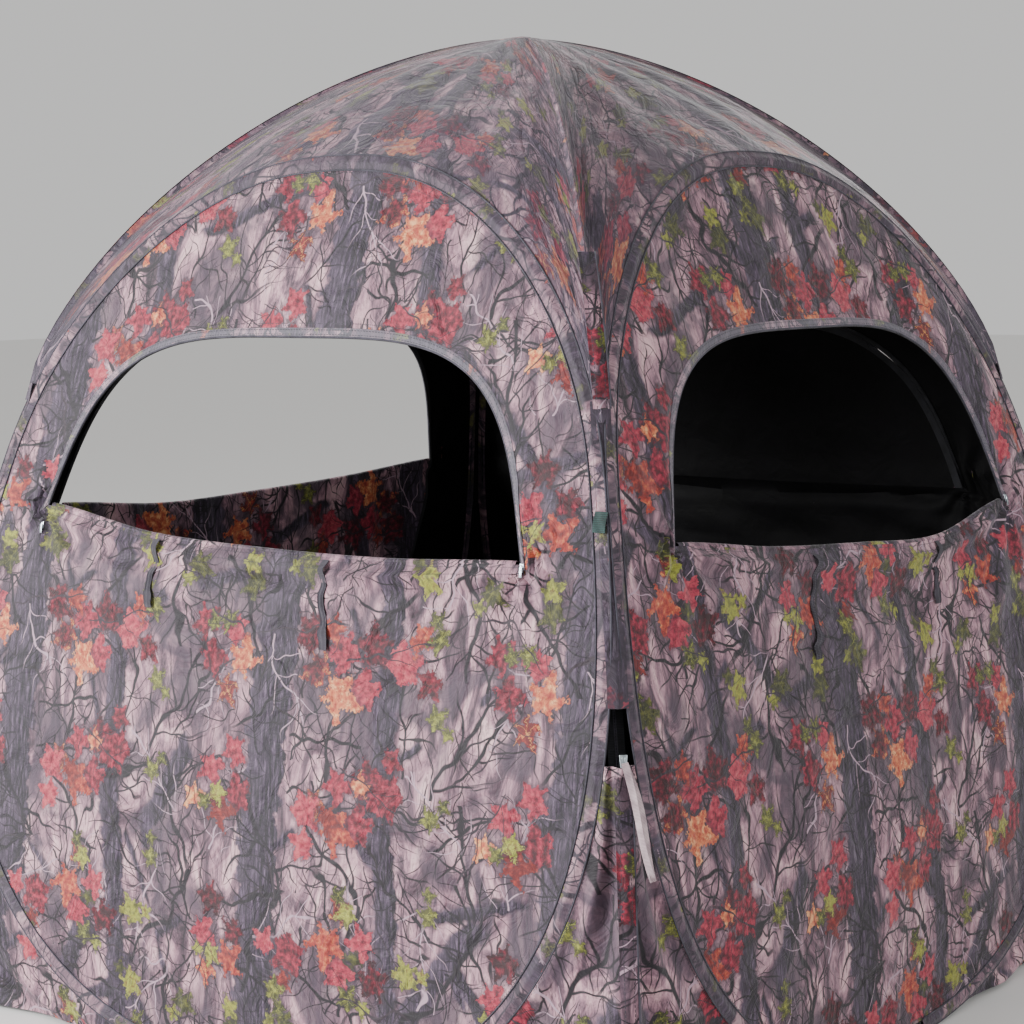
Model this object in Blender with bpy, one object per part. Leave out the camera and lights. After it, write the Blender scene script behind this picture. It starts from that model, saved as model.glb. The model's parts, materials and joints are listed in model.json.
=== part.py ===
"""Pop-up ground blind: four sprung steel hoops in fabric sleeves, leaning walls with zipped
windows, a four-gore domed roof, corner gussets and a zipped front corner door.

Metres, +Z up. The origin is on the ground at the middle of the floor plan. The front wall
faces -Y. Wall pieces are drawn once in the front wall's frame and turned by quarter turns.
"""
import math

import bmesh
import bpy
from mathutils import Matrix, Vector

# Overall form
FOOT_HALF_WIDTH = 0.780      # wall plane from the centre, at the ground
WALL_SLOPE = 0.017           # the wall starts almost plumb
WALL_CURVE = 0.144           # and leans in more with height, per metre
WAIST_HEIGHT = 0.957         # the hoops of two walls touch at the corners here
HOOP_TOP = 1.462
ROOF_APEX = 1.697
HOOP_ROUND_TOP = 2.40        # exponents of the rounded square that a hoop makes
HOOP_ROUND_BOTTOM = 2.47

# Hoops and sleeves
WIRE_DIAMETER = 0.005
SLEEVE_WIDTH = 0.027
SLEEVE_DEPTH = 0.0086
SLEEVE_WALL = 0.0008
SLEEVE_MOUTH = 0.22          # share of a station left open each side of the ferrule
FERRULE_LENGTH = 0.060
FERRULE_BORE = 0.0062
FERRULE_WALL = 0.0010
STATIONS = 40                # stations around one hoop

# Fabric
FABRIC = 0.0020
SEAM_GAP = 0.0010
CORNER_GAP = 0.0015

# Windows
SILL_HEIGHT = 0.845
WINDOW_HALF_WIDTH = 0.526
WINDOW_HEIGHT = 0.336
WINDOW_TAPER = 0.185         # share of the width lost at the top
WINDOW_ROUND = 3.86
ZIP_TAPE = 0.008
FLAP_GAP = 0.003
FLAP_SETBACK = 0.009         # the fold lies this far behind the wall
HANGING_SIDES = (0, 1, 3)    # flaps folded in; the back flap is closed

# Roof
HIP_SWELL = 1.75
HIP_SHOULDER = 1.45
CROWN_SWELL = 1.60
CROWN_SHOULDER = 1.00
CROWN_BLEND = 0.60
ROOF_ROWS = 6
ROOF_EYE = 0.05              # the gores stop at this share of the way from the apex
PATCH_RADIUS = 0.050
PATCH_THICKNESS = 0.0025

# Corner gussets and stake tabs
GROUND_CORNER = FOOT_HALF_WIDTH + 0.010   # gusset corner from the centre, along X and Y
HEM_HEIGHT = 0.0040
TAB_LENGTH = 0.055
TAB_WIDTH = 0.026
TAB_THICKNESS = 0.003
TAB_HOLE_RADIUS = 0.0065
TAB_HOLE_SIDES = 12

# Door on the front right corner
DOOR_TOP = 0.766 * ROOF_APEX
DOOR_BOTTOM = 0.020
DOOR_TAPE_WIDTH = 0.012
DOOR_TAPE_THICKNESS = 0.0016
DOOR_TAPE_INSET = 0.0178 * ROOF_APEX      # tapes behind the corner line
DOOR_MEETING_GAP = 0.0012
STORM_WIDTH = 0.026
STORM_THICKNESS = 0.0016
STORM_STANDOFF = 0.007
SLIDER_WIDTH = 0.012
SLIDER_HEIGHT = 0.018
SLIDER_DEPTH = 0.006
UPPER_SLIDER_HEIGHT = 0.735
PULL_LENGTH = 0.032
PULL_WIDTH = 0.008
PULL_THICKNESS = 0.002
RIBBON_LENGTH = 0.176
RIBBON_WIDTH = 0.011
RIBBON_THICKNESS = 0.0012
RIBBON_OPEN = 0.007
RIBBON_LEAN = math.radians(13.0)
CLEARANCE = 0.0008
DOOR_TAB_HEIGHT = 0.923
DOOR_TAB_SIZE = (0.022, 0.0015, 0.030)

WINDOW_SLIDER_SIZE = (0.008, 0.004, 0.013)

SIDES = ("front", "right", "back", "left")
CORNERS = ("front_right", "back_right", "back_left", "front_left")
TOP_STATIONS = STATIONS // 4
SILL_STATION = 1             # the sill corners face this station below the waist
WINDOW_STATIONS = STATIONS // 2 + 2 * SILL_STATION
DOOR_GUSSET_STATION = 2      # gusset tops, in stations below the waist
SEWN_GUSSET_STATION = 1


def wall_distance(height):
    """Distance of the wall surface from the centre at a height."""
    return FOOT_HALF_WIDTH + WALL_SLOPE * height - WALL_CURVE * height ** 2


def wall_normal(height):
    """Outward normal of the front wall at a height."""
    lean = WALL_SLOPE - 2.0 * WALL_CURVE * height
    return Vector((0.0, -1.0, -lean)).normalized()


def wall_point(across, height, out=0.0):
    """Point of the front wall, moved out along its normal."""
    point = Vector((across, -wall_distance(height), height))
    return point + wall_normal(height) * out


def rounded(value, exponent):
    """Signed power that turns a circle into a rounded square."""
    return math.copysign(abs(value) ** (2.0 / exponent), value)


def hoop_raw(angle):
    """Across and height of the hoop's wire at an angle, zero at the right side."""
    rise, reach = math.sin(angle), math.cos(angle)
    bottom = SLEEVE_WIDTH / 2 + SEAM_GAP
    span = HOOP_TOP - WAIST_HEIGHT if rise > 0 else WAIST_HEIGHT - bottom
    exponent = HOOP_ROUND_TOP if rise > 0 else HOOP_ROUND_BOTTOM
    height = WAIST_HEIGHT + span * rounded(rise, exponent)
    corner = wall_distance(height) - SLEEVE_WIDTH / 2 - CORNER_GAP
    return Vector((corner * rounded(reach, exponent), height))


def hoop_station(index, offset=0.0):
    """Across and height at a station, moved out of the hoop by an offset."""
    step = math.tau / STATIONS
    here = hoop_raw(index * step)
    along = (hoop_raw((index + 0.5) * step) - hoop_raw((index - 0.5) * step)).normalized()
    return here + Vector((along.y, -along.x)) * offset


def window_half_width(share, grow):
    """Half width of the window opening at a share of its height."""
    full = (WINDOW_HALF_WIDTH + grow) * (1.0 - WINDOW_TAPER * share)
    return full * (1.0 - share ** WINDOW_ROUND) ** (1.0 / WINDOW_ROUND)


def window_arch(grow=0.0):
    """Across and height above the sill, around the arch from right to left."""
    points = []
    for index in range(WINDOW_STATIONS + 1):
        angle = math.pi * index / WINDOW_STATIONS
        share = abs(math.sin(angle)) ** (2.0 / WINDOW_ROUND)
        if index in (0, WINDOW_STATIONS):
            share = 0.0
        across = math.copysign(window_half_width(min(share, 1.0), grow), math.cos(angle))
        points.append(Vector((across, share * (WINDOW_HEIGHT + grow))))
    return points


def make_material(name, color, roughness, metallic=0.0):
    material = bpy.data.materials.new(name)
    material.use_nodes = True
    shader = material.node_tree.nodes["Principled BSDF"]
    shader.inputs["Base Color"].default_value = (*color, 1.0)
    shader.inputs["Roughness"].default_value = roughness
    shader.inputs["Metallic"].default_value = metallic
    return material


def mesh_from(name, points, faces, outward=None):
    """Mesh of points and faces. Faces turn to the outward direction, or away from the inside."""
    mesh = bpy.data.meshes.new(name)
    shape = bmesh.new()
    corners = [shape.verts.new(point) for point in points]
    for face in faces:
        shape.faces.new([corners[index] for index in face])
    shape.normal_update()
    if outward is None:
        bmesh.ops.recalc_face_normals(shape, faces=shape.faces)
    elif sum(face.normal.dot(outward) * face.calc_area() for face in shape.faces) < 0:
        bmesh.ops.reverse_faces(shape, faces=shape.faces)
    shape.to_mesh(mesh)
    shape.free()
    return mesh


def grid_mesh(name, rows, outward=None, around=False):
    """Mesh of a grid of points given row by row. With around, each row closes on itself."""
    width = len(rows[0])
    columns = width if around else width - 1
    faces = []
    for row in range(len(rows) - 1):
        for column in range(columns):
            step = (column + 1) % width
            low, high = row * width, (row + 1) * width
            faces.append((low + column, low + step, high + step, high + column))
    return mesh_from(name, [point for row in rows for point in row], faces, outward)


def box_mesh(name, size, bevel=0.0):
    """Box centred on the origin, with bevelled edges."""
    mesh = bpy.data.meshes.new(name)
    shape = bmesh.new()
    bmesh.ops.create_cube(shape, size=1.0, matrix=Matrix.Diagonal((*size, 1.0)))
    if bevel:
        bmesh.ops.bevel(shape, geom=shape.edges[:], offset=bevel, segments=1, affect="EDGES")
    shape.to_mesh(mesh)
    shape.free()
    return mesh


def add_object(name, mesh, material, turn=0.0, thickness=0.0, offset=-1.0):
    """Object with its own material, turned about Z, and thickened where it is a sheet."""
    thing = bpy.data.objects.new(name, mesh)
    bpy.context.scene.collection.objects.link(thing)
    thing.data.materials.clear()
    thing.data.materials.append(material)
    thing.rotation_euler.z = turn
    if thickness:
        solid = thing.modifiers.new("Cloth thickness", "SOLIDIFY")
        solid.thickness = thickness
        solid.offset = offset
    return thing


def make_hoop_mesh():
    """Closed ring of round spring wire."""
    curve = bpy.data.curves.new("hoop", "CURVE")
    curve.dimensions = "3D"
    curve.bevel_depth = WIRE_DIAMETER / 2
    curve.bevel_resolution = 1
    spline = curve.splines.new("POLY")
    spline.points.add(STATIONS - 1)
    for index in range(STATIONS):
        across, height = hoop_station(index)
        spline.points[index].co = (*wall_point(across, height), 1.0)
    spline.use_cyclic_u = True
    return curve


def sleeve_section(index):
    """Four corners of the flat sleeve around the wire at a station."""
    across, height = hoop_station(index)
    normal = wall_normal(height)
    centre = wall_point(across, height)
    before = wall_point(*hoop_station(index - 1))
    after = wall_point(*hoop_station(index + 1))
    sideways = (after - before).normalized().cross(normal).normalized()
    half_width, half_depth = SLEEVE_WIDTH / 2, SLEEVE_DEPTH / 2
    return [
        centre + sideways * half_width,
        centre + normal * half_depth,
        centre - sideways * half_width,
        centre - normal * half_depth,
    ]


def make_sleeve_mesh():
    """Fabric sleeve around the wire, open at the bottom where the wire ends join."""
    bottom = -STATIONS // 4
    first = bottom + SLEEVE_MOUTH
    last = bottom + STATIONS - SLEEVE_MOUTH
    stations = [first] + list(range(bottom + 1, bottom + STATIONS)) + [last]
    return grid_mesh("sleeve", [sleeve_section(index) for index in stations], around=True)


def make_ferrule_mesh():
    """Crimp tube over the two ends of the wire, following the wire at the bottom of the hoop."""
    bottom = -STATIONS // 4
    middle = wall_point(*hoop_station(bottom))
    normal = wall_normal(middle.z)
    up = normal.cross(Vector((1, 0, 0)))
    rows = []
    for side in (-1, 0, 1):
        neighbour = wall_point(*hoop_station(bottom + side))
        reach = FERRULE_LENGTH / 2 / max((neighbour - middle).length, FERRULE_LENGTH)
        centre = middle.lerp(neighbour, reach)
        ring = []
        for index in range(8):
            angle = math.tau * index / 8
            arm = (normal * math.cos(angle) + up * math.sin(angle)) * (FERRULE_BORE / 2 + FERRULE_WALL)
            ring.append(centre + arm)
        rows.append(ring)
    return grid_mesh("ferrule", rows, around=True)


def make_panel_mesh():
    """Wall cloth between the sleeve and the window opening."""
    outer = [hoop_station(index - SILL_STATION, -SLEEVE_WIDTH / 2 - SEAM_GAP) for index in range(STATIONS)]
    hole = window_arch(ZIP_TAPE + SEAM_GAP)
    sill_steps = STATIONS - WINDOW_STATIONS
    hole += [hole[-1].lerp(hole[0], step / sill_steps) for step in range(1, sill_steps)]
    rows = []
    for share in (0.0, 0.35, 0.7, 1.0):
        row = []
        for edge, point in zip(outer, hole):
            spot = edge.lerp(Vector((point.x, SILL_HEIGHT + point.y)), share)
            row.append(wall_point(spot.x, spot.y))
        rows.append(row)
    return grid_mesh("panel", rows, outward=Vector((0, -1, 0)), around=True)


def make_window_zip_mesh():
    """Zip tape sewn around the arch of the opening, on the wall side."""
    rows = []
    for grow in (ZIP_TAPE, 0.0):
        arch = window_arch(grow)
        rows.append([wall_point(point.x, SILL_HEIGHT + max(point.y, SEAM_GAP)) for point in arch])
    return grid_mesh("window_zip", rows, outward=Vector((0, -1, 0)))


def flap_lean():
    """Angle from plumb of the closed window flap."""
    top = SILL_HEIGHT + WINDOW_HEIGHT
    return math.atan2(wall_distance(SILL_HEIGHT) - wall_distance(top), WINDOW_HEIGHT)


def make_flap_mesh():
    """Window flap, drawn standing straight up from its fold line at the origin."""
    inset = -(FLAP_GAP + ZIP_TAPE + SEAM_GAP)
    arch = [Vector((point.x, 0.0, point.y / math.cos(flap_lean()))) for point in window_arch(inset)]
    return mesh_from("flap", arch, [range(len(arch))], outward=Vector((0, -1, 0)))


def make_flap_zip_mesh():
    """Zip tape around the edge of the flap."""
    rows = []
    for grow in (-FLAP_GAP, -(FLAP_GAP + ZIP_TAPE)):
        arch = window_arch(grow)
        rows.append([Vector((point.x, 0.0, point.y / math.cos(flap_lean()))) for point in arch])
    return grid_mesh("flap_zip", rows, outward=Vector((0, -1, 0)))


def fold_line():
    """Middle of the fold line of the front window flap."""
    return wall_point(0.0, SILL_HEIGHT) + Vector((0.0, FLAP_SETBACK, 0.0))


def place_on_fold(thing, side, closed):
    """Put a flap piece on the fold line, standing in the window or hanging inside."""
    tilt = -flap_lean() if closed else math.pi
    turn = Matrix.Rotation(side * math.pi / 2, 4, "Z")
    spot = Matrix.Translation(fold_line())
    thing.matrix_world = turn @ spot @ Matrix.Rotation(tilt, 4, "X")


def roof_rise(share, middle):
    """How far up a rib has come at a share of its reach, for a hip or a middle rib."""
    swell = HIP_SWELL + (CROWN_SWELL - HIP_SWELL) * middle
    shoulder = HIP_SHOULDER + (CROWN_SHOULDER - HIP_SHOULDER) * middle
    return (1.0 - share ** swell) ** (1.0 / shoulder)


def rib_point(across, depth, start, share, middle):
    """Point of a roof rib that climbs from the eave to the apex."""
    height = start + (ROOF_APEX - start) * roof_rise(share, middle)
    return Vector((across * share, -depth * share, height))


def hip_distance(height):
    """Distance of the corner line or the roof's hip from the centre, along X or Y."""
    start = hoop_station(1)[1]
    if height <= start:
        return wall_distance(height)
    climbed = (height - start) / (ROOF_APEX - start)
    return wall_distance(start) * (1.0 - climbed ** HIP_SHOULDER) ** (1.0 / HIP_SWELL)


def make_gore_mesh():
    """One of the four roof gores, from the hoop's sleeve up to the crown."""
    start = hoop_station(1)[1]
    corner = wall_distance(start)
    edge_inset = FABRIC + SEAM_GAP
    columns = []
    for index in range(1, 2 * TOP_STATIONS):
        across, height = hoop_station(index, SLEEVE_WIDTH / 2 + SEAM_GAP)
        depth = wall_distance(height)
        middle = max(0.0, 1.0 - (across / corner) ** 2) ** CROWN_BLEND
        columns.append((across, depth, height, middle))
    columns.insert(0, (corner, corner, start, 0.0))
    columns.append((-corner, corner, start, 0.0))
    rows = []
    for row in range(ROOF_ROWS + 1):
        share = 1.0 - (1.0 - ROOF_EYE) * row / ROOF_ROWS
        points = [rib_point(*column[:3], share, column[3]) for column in columns]
        narrowed = points if row else (points[0], points[-1])
        for point in narrowed:
            point.x *= 1.0 - edge_inset / (share * corner)
        rows.append(points)
    return grid_mesh("gore", rows, outward=Vector((0, -1, 1)))


def make_patch_mesh():
    """Round crown patch over the point where the gores meet."""
    mesh = bpy.data.meshes.new("crown_patch")
    shape = bmesh.new()
    top = ROOF_APEX + SEAM_GAP + PATCH_THICKNESS / 2
    bmesh.ops.create_cone(shape, cap_ends=True, segments=24, radius1=PATCH_RADIUS,
                          radius2=PATCH_RADIUS * 0.94, depth=PATCH_THICKNESS,
                          matrix=Matrix.Translation((0, 0, top)))
    shape.to_mesh(mesh)
    shape.free()
    return mesh


def gusset_line(height, top):
    """Centre line of a gusset from its top down to the ground corner, along X or Y."""
    share = max(0.0, (top - height) / (top - HEM_HEIGHT))
    return wall_distance(top) + (GROUND_CORNER - wall_distance(top)) * share


def gusset_rows(top_station, centre_inset):
    """Rows of a half gusset, from the front wall's sleeve to the centre line."""
    top = hoop_station(-top_station)[1]
    rows = []
    for index in range(top_station, TOP_STATIONS):
        across, height = hoop_station(-index, SLEEVE_WIDTH / 2 + SEAM_GAP)
        height = max(height, HEM_HEIGHT)
        edge = Vector((across, -wall_distance(height), height))
        level = HEM_HEIGHT if index == TOP_STATIONS - 1 else height
        reach = gusset_line(level, top)
        centre = Vector((reach - centre_inset, -reach, level))
        rows.append([edge, edge.lerp(centre, 0.5), centre])
    return rows


def mirror_to_right(point):
    """Mirror a point of the front wall into the right wall, across the corner plane."""
    return Vector((-point.y, -point.x, point.z))


def make_gusset_half_mesh(name, on_right):
    """Half of the front corner gusset, beside the door zip."""
    rows = gusset_rows(DOOR_GUSSET_STATION, FABRIC + SEAM_GAP)
    if on_right:
        rows = [[mirror_to_right(point) for point in row] for row in rows]
    outward = Vector((1, 0, 0)) if on_right else Vector((0, -1, 0))
    return grid_mesh(name, rows, outward=outward)


def make_gusset_mesh():
    """Sewn corner gusset, one cloth folded at its centre line."""
    rows = []
    for row in gusset_rows(SEWN_GUSSET_STATION, 0.0):
        rows.append(row + [mirror_to_right(point) for point in reversed(row[:-1])])
    return grid_mesh("gusset", rows, outward=Vector((1, -1, 0)))


def corner_matrix(distance, height, lean=0.0):
    """Frame at the front right corner: X along the corner's face, -Y out of the corner."""
    spot = Matrix.Translation((distance, -distance, height))
    return spot @ Matrix.Rotation(math.pi / 4, 4, "Z") @ Matrix.Rotation(lean, 4, "X")


def make_stake_tab_mesh():
    """Webbing tab with a stake hole, flat on the ground and out from the corner."""
    across = Vector((1, 1, 0)).normalized()
    out = Vector((1, -1, 0)).normalized()
    start = Vector((GROUND_CORNER, -GROUND_CORNER, 0)) - out * 0.006
    hole_centre = start + out * (TAB_LENGTH * 0.62)
    rings = []
    for radius in (None, TAB_HOLE_RADIUS):
        ring = []
        for index in range(TAB_HOLE_SIDES):
            angle = math.tau * index / TAB_HOLE_SIDES
            arm_x, arm_y = math.cos(angle), math.sin(angle)
            if radius is None:
                stretch = 1.0 / max(abs(arm_x), abs(arm_y))
                arm_x, arm_y = arm_x * stretch, arm_y * stretch
                reach = TAB_LENGTH * (0.38 if arm_y > 0 else 0.62)
                ring.append(hole_centre + across * arm_x * TAB_WIDTH / 2 + out * arm_y * reach)
            else:
                ring.append(hole_centre + (across * arm_x + out * arm_y) * radius)
        rings.append([point + Vector((0, 0, TAB_THICKNESS)) for point in ring])
    return grid_mesh("stake_tab", rings, outward=Vector((0, 0, 1)), around=True)


def door_line():
    """Zip line points in the corner plane: distance along X or Y, and height."""
    meet = hoop_station(-DOOR_GUSSET_STATION)[1]
    low = (GROUND_CORNER - DOOR_TAPE_INSET, DOOR_BOTTOM)
    middle = (wall_distance(meet) - DOOR_TAPE_INSET, meet)
    high = (hip_distance(DOOR_TOP) - DOOR_TAPE_INSET, DOOR_TOP)
    return low, middle, high


def make_door_tape_mesh(name, side):
    """Half of the door zip: a tape with its coil edge on the corner plane."""
    along = Vector((1, 1, 0)).normalized()
    rows = []
    for distance, height in door_line():
        centre = Vector((distance, -distance, height))
        near = centre + along * side * DOOR_MEETING_GAP / 2
        far = centre + along * side * (DOOR_MEETING_GAP / 2 + DOOR_TAPE_WIDTH)
        rows.append([near, far])
    return grid_mesh(name, rows, outward=Vector((1, -1, 0)))


def make_storm_mesh(name, low, high, steps, line):
    """Strip of cloth that covers the zip from outside, between two heights."""
    along = Vector((1, 1, 0)).normalized()
    out = Vector((1, -1, 0)).normalized()
    rows = []
    for step in range(steps + 1):
        height = low + (high - low) * step / steps
        distance = line(height)
        centre = Vector((distance, -distance, height)) + out * STORM_STANDOFF
        rows.append([centre - along * STORM_WIDTH / 2, centre + along * STORM_WIDTH / 2])
    return grid_mesh(name, rows, outward=out)


def line_between(start, end):
    """Height to distance on the straight line between two zip points."""
    def distance(height):
        share = (height - start[1]) / (end[1] - start[1])
        return start[0] + (end[0] - start[0]) * share
    return distance


def make_ribbon_mesh():
    """Ribbon sewn into a long flat loop that hangs from its top fold at the origin."""
    half_open = RIBBON_OPEN / 2
    leg = RIBBON_LENGTH - half_open
    front = [Vector((0.0, -half_open, -leg * share)) for share in (0.04, 0.5, 0.96)]
    back = [Vector((0.0, half_open, -leg * share)) for share in (0.96, 0.5, 0.04)]
    loop = [Vector((0.0, 0.0, 0.0))] + front + [Vector((0.0, 0.0, -RIBBON_LENGTH))] + back
    rows = [[point + Vector((across, 0.0, 0.0)) for point in loop]
            for across in (-RIBBON_WIDTH / 2, RIBBON_WIDTH / 2)]
    return grid_mesh("ribbon", rows, around=True)


def clear_scene():
    for thing in list(bpy.data.objects):
        bpy.data.objects.remove(thing, do_unlink=True)


def build_walls(cloth, dark_cloth, steel, zinc, webbing):
    """Everything that repeats on the four walls."""
    hoop_curve = make_hoop_mesh()
    shared = {
        "sleeve": (make_sleeve_mesh(), cloth, SLEEVE_WALL),
        "panel": (make_panel_mesh(), cloth, FABRIC),
        "window_zip": (make_window_zip_mesh(), webbing, FABRIC),
        "roof_gore": (make_gore_mesh(), cloth, FABRIC),
    }
    ferrule = make_ferrule_mesh()
    flap, flap_zip = make_flap_mesh(), make_flap_zip_mesh()
    for side, side_name in enumerate(SIDES):
        turn = side * math.pi / 2
        add_object(f"hoop_{side_name}", hoop_curve, steel, turn)
        add_object(f"ferrule_{side_name}", ferrule, zinc, turn, FERRULE_WALL)
        for kind, (mesh, material, thickness) in shared.items():
            add_object(f"{kind}_{side_name}", mesh, material, turn, thickness)
        closed = side not in HANGING_SIDES
        for kind, mesh, material in (("flap", flap, dark_cloth), ("flap_zip", flap_zip, webbing)):
            piece = add_object(f"{kind}_{side_name}", mesh, material, 0.0, FABRIC)
            place_on_fold(piece, side, closed)
        build_window_sliders(side_name, turn, closed, zinc)


def build_window_sliders(side_name, turn, closed, zinc):
    """Two sliders on the window zip: at the sill corners, or at the top of a closed window."""
    mesh = box_mesh("window_slider", WINDOW_SLIDER_SIZE, bevel=0.0008)
    standoff = WINDOW_SLIDER_SIZE[1] / 2 + CLEARANCE
    for index, hand in enumerate((-1, 1)):
        across = hand * (WINDOW_HALF_WIDTH + ZIP_TAPE / 2)
        height = SILL_HEIGHT + WINDOW_SLIDER_SIZE[2] / 2 + CLEARANCE
        if closed:
            across = hand * WINDOW_SLIDER_SIZE[0]
            height = SILL_HEIGHT + WINDOW_HEIGHT + ZIP_TAPE / 2
        slider = add_object(f"window_slider_{side_name}_{index + 1}", mesh, zinc)
        lean = math.atan2(wall_normal(height).z, -wall_normal(height).y)
        local = Matrix.Translation(wall_point(across, height, standoff)) @ Matrix.Rotation(-lean, 4, "X")
        slider.matrix_world = Matrix.Rotation(turn, 4, "Z") @ local


def build_corners(cloth, webbing):
    """Gussets and stake tabs at the four corners, and the crown patch."""
    gusset, tab = make_gusset_mesh(), make_stake_tab_mesh()
    for corner, corner_name in enumerate(CORNERS):
        turn = corner * math.pi / 2
        add_object(f"stake_tab_{corner_name}", tab, webbing, turn, TAB_THICKNESS)
        if corner == 0:
            for hand, on_right in (("left", False), ("right", True)):
                name = f"gusset_{corner_name}_{hand}"
                add_object(name, make_gusset_half_mesh(name, on_right), cloth, 0.0, FABRIC)
        else:
            add_object(f"gusset_{corner_name}", gusset, cloth, turn, FABRIC)
    add_object("crown_patch", make_patch_mesh(), cloth)


def build_door(cloth, webbing, zinc):
    """Zip, storm flaps, sliders, pulls and tab of the door on the front right corner."""
    low, meet, high = door_line()
    for hand, side in (("left", -1), ("right", 1)):
        name = f"door_zip_{hand}"
        mesh = make_door_tape_mesh(name, side)
        add_object(name, mesh, webbing, 0.0, DOOR_TAPE_THICKNESS)

    gusset_top = meet[1]
    lower = make_storm_mesh("door_storm_lower", HEM_HEIGHT + 0.006, gusset_top - 0.010, 2,
                            lambda height: gusset_line(height, gusset_top))
    add_object("door_storm_lower", lower, cloth, 0.0, STORM_THICKNESS)
    upper = make_storm_mesh("door_storm_upper", hoop_station(1)[1] + 0.020, DOOR_TOP + 0.010, 4, hip_distance)
    add_object("door_storm_upper", upper, cloth, 0.0, STORM_THICKNESS)

    slider_mesh = box_mesh("door_slider", (SLIDER_WIDTH, SLIDER_DEPTH, SLIDER_HEIGHT), bevel=0.0012)
    behind = DOOR_TAPE_THICKNESS + SLIDER_DEPTH / 2 + CLEARANCE
    upper_line = line_between(meet, high)
    upper_lean = math.atan2((meet[0] - high[0]) * math.sqrt(2), high[1] - meet[1])
    upper_frame = corner_matrix(upper_line(UPPER_SLIDER_HEIGHT), UPPER_SLIDER_HEIGHT, -upper_lean)
    upper_slider = add_object("door_slider_upper", slider_mesh, zinc)
    upper_slider.matrix_world = upper_frame @ Matrix.Translation((0, behind, 0))
    pull = add_object("door_pull_upper", make_pull_mesh(), zinc)
    pull_drop = SLIDER_DEPTH / 2 + PULL_THICKNESS / 2 + CLEARANCE
    pull_spot = upper_slider.matrix_world.translation.copy()
    inward = Vector((-1, 1, 0)).normalized()
    pull.matrix_world = (Matrix.Translation(pull_spot + inward * (pull_drop + 0.004))
                         @ Matrix.Rotation(math.pi / 4, 4, "Z"))

    slider_height = gusset_top + SLIDER_HEIGHT / 2 + 0.002
    front = STORM_STANDOFF + CLEARANCE + SLIDER_DEPTH / 2
    splay = math.atan2((GROUND_CORNER - wall_distance(gusset_top)) * math.sqrt(2), gusset_top - HEM_HEIGHT)
    lower_frame = corner_matrix(wall_distance(gusset_top), slider_height, -splay)
    lower_slider = add_object("door_slider_lower", slider_mesh, zinc)
    lower_slider.matrix_world = lower_frame @ Matrix.Translation((0, -front, 0))
    ribbon = add_object("door_ribbon", make_ribbon_mesh(), cloth, 0.0, RIBBON_THICKNESS)
    ribbon_front = front + (SLIDER_DEPTH + RIBBON_OPEN) / 2 + CLEARANCE
    ribbon.matrix_world = (lower_frame @ Matrix.Translation((0, -ribbon_front, 0))
                           @ Matrix.Rotation(-RIBBON_LEAN, 4, "Y"))

    tab = add_object("door_tab", box_mesh("door_tab", DOOR_TAB_SIZE), webbing)
    tab_across = wall_distance(DOOR_TAB_HEIGHT) - CORNER_GAP - DOOR_TAB_SIZE[0] / 2
    normal = wall_normal(DOOR_TAB_HEIGHT)
    tab.matrix_world = (Matrix.Translation(wall_point(tab_across, DOOR_TAB_HEIGHT, SLEEVE_DEPTH / 2 + 0.004))
                        @ Matrix.Rotation(-math.atan2(normal.z, -normal.y), 4, "X"))


def make_pull_mesh():
    """Pull tab that hangs from its top at the origin."""
    mesh = box_mesh("door_pull", (PULL_WIDTH, PULL_THICKNESS, PULL_LENGTH), bevel=0.0006)
    mesh.transform(Matrix.Translation((0, 0, -PULL_LENGTH / 2 + 0.003)))
    return mesh


def build():
    clear_scene()
    cloth = make_material("Printed polyester", (0.28, 0.22, 0.23), 0.75)
    dark_cloth = make_material("Coated polyester, black side", (0.02, 0.02, 0.022), 0.6)
    steel = make_material("Blued spring steel", (0.12, 0.12, 0.13), 0.35, 1.0)
    zinc = make_material("Zinc alloy", (0.45, 0.47, 0.5), 0.35, 1.0)
    webbing = make_material("Black webbing", (0.02, 0.022, 0.025), 0.8)
    build_walls(cloth, dark_cloth, steel, zinc, webbing)
    build_corners(cloth, webbing)
    build_door(cloth, webbing, zinc)


build()
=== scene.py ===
# %% [markdown]
# # A pop-up ground blind
# A ground blind is a small square tent that springs open. Four closed hoops of spring steel
# stand in fabric sleeves around its walls, the cloth between them is cut a little tight, and
# the roof is four gores that pull the hoops together. The frame holds the simple solids of
# each part and how the parts move. These cells sew the cloth that people see over them.
# %% Load the frame
import json
import math

import bmesh
import bpy
from mathutils import Matrix, Vector, noise


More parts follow.
